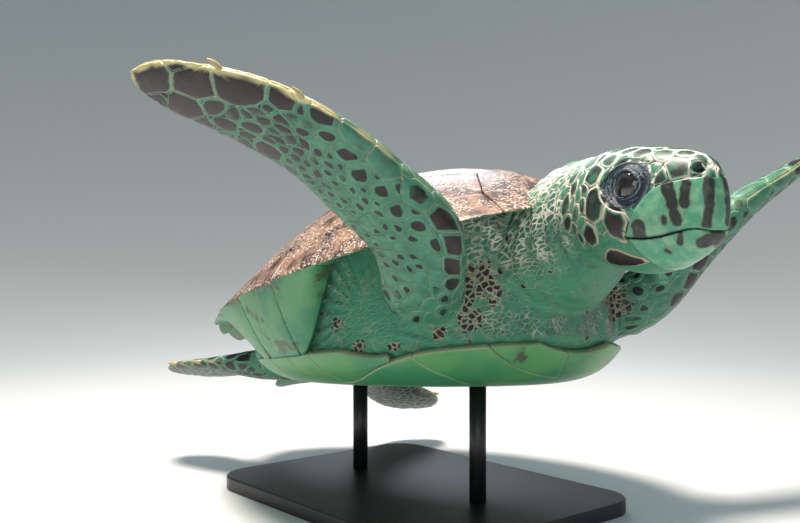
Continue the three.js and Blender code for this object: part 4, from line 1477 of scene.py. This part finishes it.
def headRegion():
    placed = []
    for side in (1, -1):
        for t, down, *rest in headScales:
            placed.append((*headToFlat([t], [side * down])[0], *rest))
    placed += [(*headToFlat([t], [down])[0], *rest) for t, down, *rest in headMidScales]

    def look(flat, rng):
        t = flat[:, 0] / head["length"]
        down = np.abs(flat[:, 1] / headHalfGirth(t) * 180)
        throat = (down > 118) | ((down > 100) & (t > .45))
        tone = np.where(throat, -1, np.where(rng.random(len(t)) < .45, .7, .12))
        return tone, np.full(len(t), .3)

    def allowed(flat):
        t = flat[:, 0] / head["length"]
        onThroat = insidePatch(flat, cheekFlat, 3) | insidePatch(flat * (1, -1), cheekFlat, 3)
        return headClear(flat) & ~onThroat & (np.abs(flat[:, 1]) < headHalfGirth(t))

    cheekFlat = headToFlat(*np.array(cheekPatch).T)
    region = makeRegion(placed, ((4, -160), (156, 160)), allowed, lambda flat: np.full(len(flat), 5.2), 1, 4,
                        look, lambda flat: np.zeros(len(flat)), .17)
    for side in (1, -1):
        outline = rounded(evenly(cheekFlat, 3)) * (1, side)
        region["outlines"].append(outline)
        region["centres"].append(outline.mean(0))
        region["kept"].append(0)
    region["tone"][0], region["margin"][0] = .95, .1
    region["outlines"] = trimmed(region["outlines"], region["centres"], headClear)
    wide = [np.ptp(o, axis=0).min() > 2 for o in region["outlines"]]
    for key in ("outlines", "centres", "kept"):
        region[key] = [v for v, ok in zip(region[key], wide) if ok]
    return region


def insidePatch(flat, outline, margin):
    middle = outline.mean(0)
    bigger = middle + (outline - middle) * (1 + margin / 20)
    return insideOutline([tuple(p) for p in bigger], flat[:, 0], flat[:, 1])


skinMesh = skin.data
skinTree = BVHTree.FromPolygons([v.co for v in skinMesh.vertices], [p.vertices for p in skinMesh.polygons])
coats = {}
uvCorners = {"front_flipper_right": (0, 0), "front_flipper_left": (.5, 0), "hind_flipper_right": (0, .4),
             "hind_flipper_left": (.5, .4), "head": (0, .7)}
regions = {}
for name, limb in limbs.items():
    regions[name] = limbRegion(name)
    corner = np.array(uvCorners[name]) + (.01, .18)
    coats[name] = makeScales("scales_" + name, regions[name], partial(limbFromFlat, limb), corner)
regions["head"] = headRegion()
corner = np.array(uvCorners["head"]) + (.2, .15)
coats["head"] = makeScales("scales_head", regions["head"], headOnBody, corner)
print("scales made")


# Markings of the skin, set on its points, and then fewer triangles where the shell hides it.

darkPatches = [
    # place, radius and strength of patches where the small scales of the shoulders and collar are dark
    ((-94, -194, -34), 26, .95), ((-103, -187, -66), 15, .85), ((-118, -200, 0), 16, .8),
    ((103, -203, -45), 36, .9), ((92, -232, -18), 40, 1), ((-123, -168, -77), 8, 1),
    ((-145, -130, -80), 7, 1), ((-134, -150, -79), 5, 1),
    ((-160, -98, -76), 8, 1), ((-168, -75, -50), 8, 1), ((-60, 200, -60), 40, .9), ((70, 205, -60), 40, .9),
]
neckFlow = {"direction": (.46, -.84, .28), "squeeze": .68, "crossing": 30}


def markings(piece):
    mesh = piece.data
    places, normals = meshPlaces(mesh), meshNormals(mesh)
    x, y, z = places.T
    count = len(places)
    tone, inwards, scaly, lead = np.zeros((4, count))
    margin = np.ones(count)
    seamShare = np.full(count, .06)
    for name, limb in limbs.items():
        t, turn, proud = limbPlaces(limb, places)
        on = np.flatnonzero((proud < 5) & (t > (.09 if "front" in name else .28)))
        flat = limbToFlat(limb, t[on], turn[on])
        tone[on], inwards[on], margin[on] = nearestScale(regions[name], flat)
        scaly[on] = ease(t[on], *((.09, .15) if "front" in name else (.28, .34)))
        lead[on] = regions[name]["lead"](flat)
    inHead = transformed(headToBody.inverted(), places)
    onHead = (inHead[:, 1] < -8) & (np.linalg.norm(inHead - np.array((0, -80, -5)), axis=1) < 98)
    share = -inHead[:, 1] / head["length"]
    down = np.degrees(np.arctan2(np.abs(inHead[:, 0]), inHead[:, 2] + mix(2, 8, share)))
    crown = onHead * ease(share, .03, .1) * (1 - ease(down, 105, 122))
    on = np.flatnonzero(crown > .01)
    flat = headToFlat(share[on], np.sign(inHead[on, 0]) * down[on])
    tone[on], inwards[on], margin[on] = nearestScale(regions["head"], flat)
    seamShare[on] = regions["head"]["seamShare"]
    scaly[on] = crown[on]
    neck = ease(-y, 140, 180) * (1 - ease(np.abs(x), 110, 150))
    upper = np.maximum(ease(normals[:, 2], -.35, .45), ease(z, -50, 5))
    net = np.clip(.3 + .7 * neck * upper + .25 * ease(normals[:, 2], -.2, .5), 0, 1)
    net *= 1 - onHead * ease(share, .02, .2) * .75
    dark = np.zeros(count)
    for place, radius, strength in darkPatches:
        d = np.linalg.norm(places - np.array(place), axis=1)
        dark = np.maximum(dark, strength * (1 - ease(d, radius * .45, radius * 1.25)))
    # wrinkles follow the neck from the shoulders to the head, so their pattern is drawn out that way
    side = -np.clip(x / neckFlow["crossing"], -1, 1)
    way = np.array(neckFlow["direction"]) * np.stack([side, np.ones(count), np.ones(count)], 1)
    forwards = np.array((-np.abs(x), y, z)).T @ neckFlow["direction"]
    flow = places - neckFlow["squeeze"] * forwards[:, None] * way
    setAttribute(mesh, "flow", flow * mm, "FLOAT_VECTOR")
    # painted highlight mask: where the skin faces up, and along the top of the neck
    lit = np.maximum(ease(normals[:, 2], *scaleSettings["upper"]), .85 * neck * upper)
    found = {"tone": tone, "inwards": inwards, "margin": margin, "seamShare": seamShare, "scaly": scaly,
             "lead": lead, "net": net, "dark": dark, "neck": neck * upper, "upper": lit}
    for key, values in {**found, **skinMarks}.items():
        setAttribute(mesh, key, values)


def nearestScale(region, flat):
    # darkness of the scale over each spot, how far into it the spot lies, and the width of its pale margin
    where = flat * region["squeeze"]
    seeds, radius = region["seeds"], region["radius"]
    nearest = np.zeros(len(flat), int)
    inwards = np.zeros(len(flat))
    for a in range(0, len(flat), 3000):
        apart = ((where[a:a + 3000, None] - seeds[None]) ** 2).sum(2) - radius[None] ** 2
        first, second = np.argpartition(apart, 1, axis=1)[:, :2].T
        rows = np.arange(len(apart))
        width = 2 * np.linalg.norm(seeds[first] - seeds[second], axis=1)
        nearest[a:a + 3000] = first
        inwards[a:a + 3000] = (apart[rows, second] - apart[rows, first]) / width / radius[first]
    return np.maximum(region["tone"][nearest], 0), np.clip(inwards, 0, 1), region["margin"][nearest]


def thinHidden(piece):
    mesh = piece.data
    places = meshPlaces(mesh)
    x, y, z = places.T
    hidden = (reach(x, y) < .8) & (z < domeZ(x, y) + 4) & (z > bellyZ(x, y) - 4)
    group = piece.vertex_groups.new(name="hidden")
    group.add([int(i) for i in np.flatnonzero(hidden)], 1, "REPLACE")
    group.add([int(i) for i in np.flatnonzero(~hidden)], skinSettings["seenWeight"], "REPLACE")
    fewer = piece.modifiers.new("fewer", "DECIMATE")
    fewer.ratio = skinSettings["triangles"] / triangleCount(mesh)
    fewer.vertex_group = "hidden"
    applyModifiers(piece)
    piece.data.shade_smooth()


markings(skin)
thinHidden(skin)
print("skin marked:", triangleCount(skin.data), "triangles")


# Materials. Lengths inside them are in millimetres of the real thing.

def linear(code):
    channels = [int(code[i:i + 2], 16) / 255 for i in (1, 3, 5)]
    return [c / 12.92 if c <= .04045 else ((c + .055) / 1.055) ** 2.4 for c in channels] + [1]


def newMaterial(name, **shader):
    material = bpy.data.materials.new(name)
    material.use_nodes = True
    surface = material.node_tree.nodes["Principled BSDF"]
    for socket, value in shader.items():
        surface.inputs[socket.replace("_", " ")].default_value = value
    return material.node_tree, surface, material


def add(tree, kind, inputs=None, **settings):
    # one node, with its settings and with values or other nodes' outputs on its inputs
    node = tree.nodes.new("ShaderNode" + kind)
    for key, value in settings.items():
        setattr(node, key, value)
    for key, value in (inputs or {}).items():
        if isinstance(value, bpy.types.NodeSocket):
            tree.links.new(value, node.inputs[key])
        else:
            node.inputs[key].default_value = value
    return node


def blend(tree, share, a, b):
    node = add(tree, "Mix", {0: share, 6: a, 7: b}, data_type="RGBA")
    return node.outputs[2]


def calc(tree, operation, a, b=0.0):
    return add(tree, "Math", {0: a, 1: b}, operation=operation).outputs[0]


def times(tree, a, b):
    return calc(tree, "MULTIPLY", a, b)


def between(tree, value, low, high, start=0.0, end=1.0):
    inputs = {0: value, 1: low, 2: high, 3: start, 4: end}
    return add(tree, "MapRange", inputs, interpolation_type="SMOOTHSTEP").outputs[0]


def mark(tree, name):
    return add(tree, "Attribute", attribute_name=name).outputs["Fac"]


def grain(tree, size, detail=3):
    # noise with features of about this size in millimetres
    place = add(tree, "TexCoord").outputs["Object"]
    node = add(tree, "TexNoise", {"Vector": place, "Scale": 1 / (size * mm), "Detail": detail})
    return node.outputs[0]


def cells(tree, size, place):
    # distance from the borders of cells of about this size in millimetres
    node = add(tree, "TexVoronoi", {"Vector": place, "Scale": 1 / (size * mm)}, feature="DISTANCE_TO_EDGE")
    return node.outputs["Distance"]


def plus(tree, value, noise, amount):
    # a value made uneven by noise of this amount
    return calc(tree, "ADD", value, times(tree, calc(tree, "SUBTRACT", noise, .5), amount))


def bumped(tree, surface, height, distance, strength):
    node = add(tree, "Bump", {"Height": height, "Distance": distance * mm, "Strength": strength})
    tree.links.new(node.outputs[0], surface.inputs["Normal"])


# The lit hues of the seams and creases and the pale hue of the lid folds are painted highlights, and the
# near-black hue of the nostrils and mouth slit is painted shade.
hues = {
    "skin": "#45846a", "skinDeep": "#2f6650", "throat": "#398264", "net": "#a08f7c", "netLit": "#efe5da",
    "neckCell": "#3a705a",
    "seam": "#b39b8b", "seamLit": "#f0e6db", "scaleMargin": "#38725a", "scaleDark": "#1b1319",
    "scaleMid": "#362629", "scaleGreen": "#35624f", "lead": "#cfc492",
    "lid": "#1d2a38", "lidFoldHighlight": "#8ba3ab", "slitShade": "#161415", "iris": "#1a1418", "pupil": "#050506",
    "horn": "#4b9477", "hornPale": "#7cab88", "hornBrown": "#6d7458", "hornDark": "#241f22",
    "claw": "#a89c70",
    "shell": "#5d4a3f", "shellDark": "#2b1d19", "shellAmber": "#80634f", "shellPale": "#e3d2c8",
    "under": "#3a7e60", "underYellow": "#568d62", "underBrown": "#42392f",
    "belly": "#367c57", "bellyYellow": "#4f8c55", "bellySeam": "#9a9a7c", "stand": "#17181a",
    "floor": "#cfd4d6",
}
hue = {name: linear(code) for name, code in hues.items()}


def scaleColour(tree):
    # a scale's dark middle inside its paler margin, the same on the scales and on the skin under them, with
    # seams painted paler where the skin faces up as a painted highlight
    inwards = plus(tree, mark(tree, "inwards"), grain(tree, 4), .14)
    inner = between(tree, calc(tree, "SUBTRACT", inwards, mark(tree, "margin")), -.02, .05)
    dark = times(tree, inner, between(tree, mark(tree, "tone"), .1, .85))
    middle = blend(tree, between(tree, grain(tree, 13, 4), .45, .75), hue["scaleDark"], hue["scaleMid"])
    green = blend(tree, between(tree, grain(tree, 9, 4), .4, .62), middle, hue["scaleGreen"])
    middle = blend(tree, between(tree, mark(tree, "tone"), .7, .95), green, middle)
    rim = blend(tree, between(tree, grain(tree, 11), .35, .65), hue["scaleMargin"], hue["skin"])
    colour = blend(tree, dark, rim, middle)
    border = calc(tree, "SUBTRACT", mark(tree, "inwards"), mark(tree, "seamShare"))
    # painted highlight: seams are paler where the skin faces up
    seam = blend(tree, mark(tree, "upper"), hue["seam"], hue["seamLit"])
    colour = blend(tree, between(tree, border, -.07, 0, .85, 0.0), colour, seam)
    return blend(tree, mark(tree, "lead"), colour, hue["lead"])


# Scales: horny skin with a slight wet sheen.
tree, surface, scaleMaterial = newMaterial("turtle scale", Roughness=.42, Specular_IOR_Level=.45)
tree.links.new(scaleColour(tree), surface.inputs["Base Color"])
bumped(tree, surface, grain(tree, 1.6, 4), .25, .5)

# Skin: green-grey between pale creases, which are strong on top of the neck and faint under the throat, with
# a painted highlight that makes creases and seams paler where the skin faces up and along the top of the
# neck.
tree, surface, skinMaterial = newMaterial("turtle skin", Roughness=.5, Specular_IOR_Level=.4)
place = add(tree, "TexCoord").outputs["Object"]
swirl = add(tree, "TexNoise", {"Vector": place, "Scale": 120.0}).outputs[1]
swirl = add(tree, "VectorMath", {0: swirl, 3: .004}, operation="SCALE").outputs[0]
warped = add(tree, "VectorMath", {0: place, 1: swirl}, operation="ADD").outputs[0]
flow = add(tree, "Attribute", attribute_name="flow").outputs["Vector"]
drawn = add(tree, "VectorMath", {0: flow, 1: swirl}, operation="ADD").outputs[0]
wrinkles = cells(tree, 4.4, drawn)
net = mark(tree, "net")
patchy = between(tree, grain(tree, 20, 4), .38, .6, .15, 1.0)
lines = between(tree, wrinkles, .02, between(tree, net, .3, 1, .07, .2), 1.0, 0.0)
crease = times(tree, lines, times(tree, patchy, between(tree, net, .2, 1, .35, 1.0)))
body = blend(tree, between(tree, grain(tree, 16), .35, .65), hue["skin"], hue["skinDeep"])
body = blend(tree, between(tree, net, .3, .55, 1.0, 0.0), body, hue["throat"])
body = blend(tree, times(tree, mark(tree, "neck"), .75), body, hue["neckCell"])
# painted highlight: creases are paler where the skin faces up
netted = blend(tree, crease, body, blend(tree, mark(tree, "upper"), hue["net"], hue["netLit"]))
darkScales = cells(tree, 6.2, warped)
own = add(tree, "TexVoronoi", {"Vector": warped, "Scale": 1 / (6.2 * mm)}).outputs["Color"]
patch = between(tree, plus(tree, mark(tree, "dark"), own, 1.3), .5, .56)
netted = blend(tree, times(tree, between(tree, darkScales, .0, .04, .0, .8), patch), netted, hue["net"])
netted = blend(tree, times(tree, between(tree, darkScales, .07, .15), patch), netted, hue["scaleDark"])
colour = blend(tree, mark(tree, "scaly"), netted, scaleColour(tree))
# painted highlight: pale rings and crests on the lid folds stand in for the light catching them
rings = calc(tree, "SINE", times(tree, mark(tree, "lidRing"), 4.2))
rings = times(tree, between(tree, rings, .35, 1), between(tree, grain(tree, 5, 3), .4, .6, .15, .75))
lidHighlights = times(tree, mark(tree, "lidHighlight"), between(tree, grain(tree, 3.5, 4), .4, .62, .15, .8))
lidColour = blend(tree, calc(tree, "MAXIMUM", rings, lidHighlights), hue["lid"], hue["lidFoldHighlight"])
colour = blend(tree, between(tree, mark(tree, "lid"), .35, .8), colour, lidColour)
# painted shade: the nostrils and the mouth slit are near-black
colour = blend(tree, between(tree, mark(tree, "slitShade"), .35, .8), colour, hue["slitShade"])
tree.links.new(colour, surface.inputs["Base Color"])
fine = between(tree, cells(tree, 2.1, warped), 0, .2)
relief = calc(tree, "ADD", between(tree, wrinkles, 0, .18), times(tree, fine, .35))
bumped(tree, surface, calc(tree, "SUBTRACT", relief, times(tree, rings, mark(tree, "lid"))), .7, .6)

# Horn of the beak: pale green with a brown bloom, a few dark streaks and fine lengthwise wear.
tree, surface, hornMaterial = newMaterial("beak horn", Roughness=.33, Specular_IOR_Level=.5)
colour = blend(tree, between(tree, grain(tree, 9, 5), .4, .7), hue["horn"], hue["hornPale"])
streak = plus(tree, mark(tree, "streak"), grain(tree, 6, 5), 1.3)
bloom = plus(tree, mark(tree, "streak"), grain(tree, 11, 4), 1.6)
colour = blend(tree, between(tree, bloom, -.1, .5, 0.0, .45), colour, hue["hornBrown"])
colour = blend(tree, between(tree, streak, .25, 1, 0.0, .95), colour, hue["hornDark"])
# painted shade in the gap between the jaws
colour = blend(tree, mark(tree, "gape"), colour, hue["slitShade"])
tree.links.new(colour, surface.inputs["Base Color"])
bumped(tree, surface, grain(tree, 2.2, 5), .25, .4)

# Eye: a dark brown iris, nearly as dark as its pupil, under a clear wet coat.
tree, surface, eyeMaterial = newMaterial("turtle eye", Roughness=.08, Coat_Weight=1, Coat_Roughness=.03)
fromPupil = mark(tree, "fromPupil")
colour = blend(tree, between(tree, fromPupil, 17, 21), hue["pupil"], hue["iris"])
tree.links.new(colour, surface.inputs["Base Color"])

# Horny plates of the back: amber and dark brown streaks that fan out from where each plate began to grow.
def shellColour(tree):
    ray = add(tree, "SeparateXYZ", {0: add(tree, "Attribute", attribute_name="ray").outputs["Vector"]})
    angle, out, own = ray.outputs
    depth = calc(tree, "ADD", own, times(tree, out, .35))
    around = add(tree, "CombineXYZ", {0: calc(tree, "SINE", angle), 1: calc(tree, "COSINE", angle), 2: depth})
    inputs = {"Vector": around.outputs[0], "Scale": 5.5, "Detail": 4.0, "Roughness": .6}
    streaks = add(tree, "TexNoise", inputs).outputs[0]
    mottle = grain(tree, 22, 4)
    dark = between(tree, calc(tree, "ADD", times(tree, streaks, .7), times(tree, mottle, .3)), .42, .6)
    colour = blend(tree, between(tree, mottle, .4, .65), hue["shellAmber"], hue["shell"])
    colour = blend(tree, dark, colour, hue["shellDark"])
    speckled = between(tree, grain(tree, 26), .3, .55)
    speckle = times(tree, between(tree, grain(tree, 2.4, 2), .52, .62), speckled)
    return blend(tree, times(tree, speckle, .75), colour, hue["shellPale"])


tree, surface, scuteMaterial = newMaterial("tortoiseshell scute", Roughness=.38, Specular_IOR_Level=.5)
tree.links.new(shellColour(tree), surface.inputs["Base Color"])
bumped(tree, surface, grain(tree, 3, 5), .3, .45)

# Rim plates: as the back above, pale green with brown blotches below.
tree, surface, rimMaterial = newMaterial("rim scute", Roughness=.42, Specular_IOR_Level=.45)
below = blend(tree, between(tree, grain(tree, 40), .4, .6), hue["under"], hue["underYellow"])
blotch = between(tree, plus(tree, grain(tree, 30, 4), grain(tree, 5), .3), .56, .66)
below = blend(tree, times(tree, blotch, .7), below, hue["underBrown"])
tree.links.new(blend(tree, mark(tree, "under"), shellColour(tree), below), surface.inputs["Base Color"])
bumped(tree, surface, grain(tree, 4, 5), .3, .4)

# Lower shell: smooth yellow-green plates.
tree, surface, bellyMaterial = newMaterial("plastron scute", Roughness=.4, Specular_IOR_Level=.45)
colour = blend(tree, between(tree, grain(tree, 60), .38, .62), hue["belly"], hue["bellyYellow"])
smudge = between(tree, plus(tree, mark(tree, "smudge"), grain(tree, 6, 4), 1.5), .45, .8, 0.0, .85)
colour = blend(tree, smudge, colour, hue["underBrown"])
colour = blend(tree, between(tree, mark(tree, "inwards"), .0, .022, .8, 0.0), colour, hue["bellySeam"])
tree.links.new(colour, surface.inputs["Base Color"])
bumped(tree, surface, grain(tree, 7, 5), .3, .35)

# Claws: pale horn.
clawMaterial = newMaterial("claw horn", Roughness=.4, Base_Color=hue["claw"])[2]
# Stand: satin black paint.
standMaterial = newMaterial("stand paint", Roughness=.42, Base_Color=hue["stand"])[2]


# Each piece takes the place of its solids.

finishPiece(skin, skinMaterial, "skin", "trunk", "neck", "head", "tail", *limbs)
for piece in coats.values():
    finishPiece(piece, scaleMaterial, "skin")
for piece, node in ((upperBeak, "beak_upper"), (lowerBeak, "beak_lower")):
    finishPiece(piece, hornMaterial, "beak_horn", node)
for side, piece in eyes.items():
    finishPiece(piece, eyeMaterial, "eyes", "eye_" + side)
for node, piece in carapace.items():
    finishPiece(piece, scuteMaterial, "shell_scutes", node)
for node, piece in rimPieces.items():
    finishPiece(piece, rimMaterial, "shell_scutes", node)
for node, piece in lowerPieces.items():
    finishPiece(piece, bellyMaterial, "plastron_scutes", node)
for node, piece in claws.items():
    finishPiece(piece, clawMaterial, "claws", node)
toMetres = Matrix.Scale(mm, 4)
finishPiece(plinth, standMaterial, "stand_paint", "stand_base", moveBy=toMetres)
for side, piece in rods.items():
    finishPiece(piece, standMaterial, "stand_paint", "stand_rod_" + side, moveBy=toMetres)
print("pieces finished")


# Backdrop: a pale floor that curves up all round, well beyond the animal.

backdrop = {"flat": 1.6, "curve": 3.2, "height": 5}


def makeBackdrop():
    bm = bmesh.new()
    sweep = [(backdrop["flat"] + backdrop["curve"] * math.sin(a), backdrop["curve"] * (1 - math.cos(a)))
             for a in np.radians(np.linspace(0, 90, 17))]
    line = [(0, 0)] + sweep + [(sweep[-1][0], backdrop["height"])]
    points = [bm.verts.new((r, 0, z)) for r, z in line]
    edges = [bm.edges.new(pair) for pair in zip(points, points[1:])]
    bmesh.ops.spin(bm, geom=points + edges, cent=(0, 0, 0), axis=(0, 0, 1), angle=2 * math.pi, steps=96,
                   use_merge=True)
    bmesh.ops.remove_doubles(bm, verts=bm.verts, dist=1e-4)
    bmesh.ops.recalc_face_normals(bm, faces=bm.faces)
    for wall in bm.faces:
        if wall.normal.z < 0 or wall.calc_center_median().dot(wall.normal) > 0 and wall.normal.z < .5:
            wall.normal_flip()
    return toObject("backdrop", bm)


floorPiece = makeBackdrop()
floorMaterial = newMaterial("studio backdrop", Roughness=.9, Base_Color=hue["floor"])[2]
floorPiece.data.materials.append(floorMaterial)


# Light: a broad warm lamp overhead, a soft fill from the camera's side, and an even pale surround.

def addLamp(name, place, target, size, power, hue):
    lamp = bpy.data.lights.new(name, "AREA")
    lamp.shape = "DISK"
    lamp.size = size
    lamp.energy = power
    lamp.color = linear(hue)[:3]
    holder = bpy.data.objects.new(name, lamp)
    holder.location = place
    holder.rotation_euler = (Vector(target) - Vector(place)).to_track_quat("-Z", "Y").to_euler()
    bpy.context.scene.collection.objects.link(holder)


lamps = {
    "key": {"place": (-.35, .1, 1.9), "target": (-.05, -.1, .25), "size": .5, "power": 74, "hue": "#fff0e4"},
    "fill": {"place": (-1.7, -1.8, .8), "target": (0, 0, .2), "size": 1.6, "power": 13, "hue": "#e6f6f4"},
    "rim": {"place": (1.2, 1.5, 1.4), "target": (0, 0, .3), "size": .8, "power": 10, "hue": "#e8f4ff"},
}
surround = {"hue": "#e4eef0", "strength": .5}
for name, settings in lamps.items():
    addLamp(name, **settings)
world = bpy.data.worlds.new("surround")
world.use_nodes = True
background = world.node_tree.nodes["Background"]
background.inputs[0].default_value = linear(surround["hue"])
background.inputs[1].default_value = surround["strength"]
bpy.context.scene.world = world
bpy.context.scene.view_settings.view_transform = "Standard"

view = {"lens": 40.5, "sensorWidth": 36, "place": (-.7029, -.7441, .2717), "turnRight": 40}
camera = bpy.data.cameras.new("camera")
camera.lens = view["lens"]
camera.sensor_width = view["sensorWidth"]
cameraObject = bpy.data.objects.new("camera", camera)
cameraObject.location = view["place"]
cameraObject.rotation_euler = (rad(90), 0, -rad(view["turnRight"]))
bpy.context.scene.collection.objects.link(cameraObject)
bpy.context.scene.camera = cameraObject
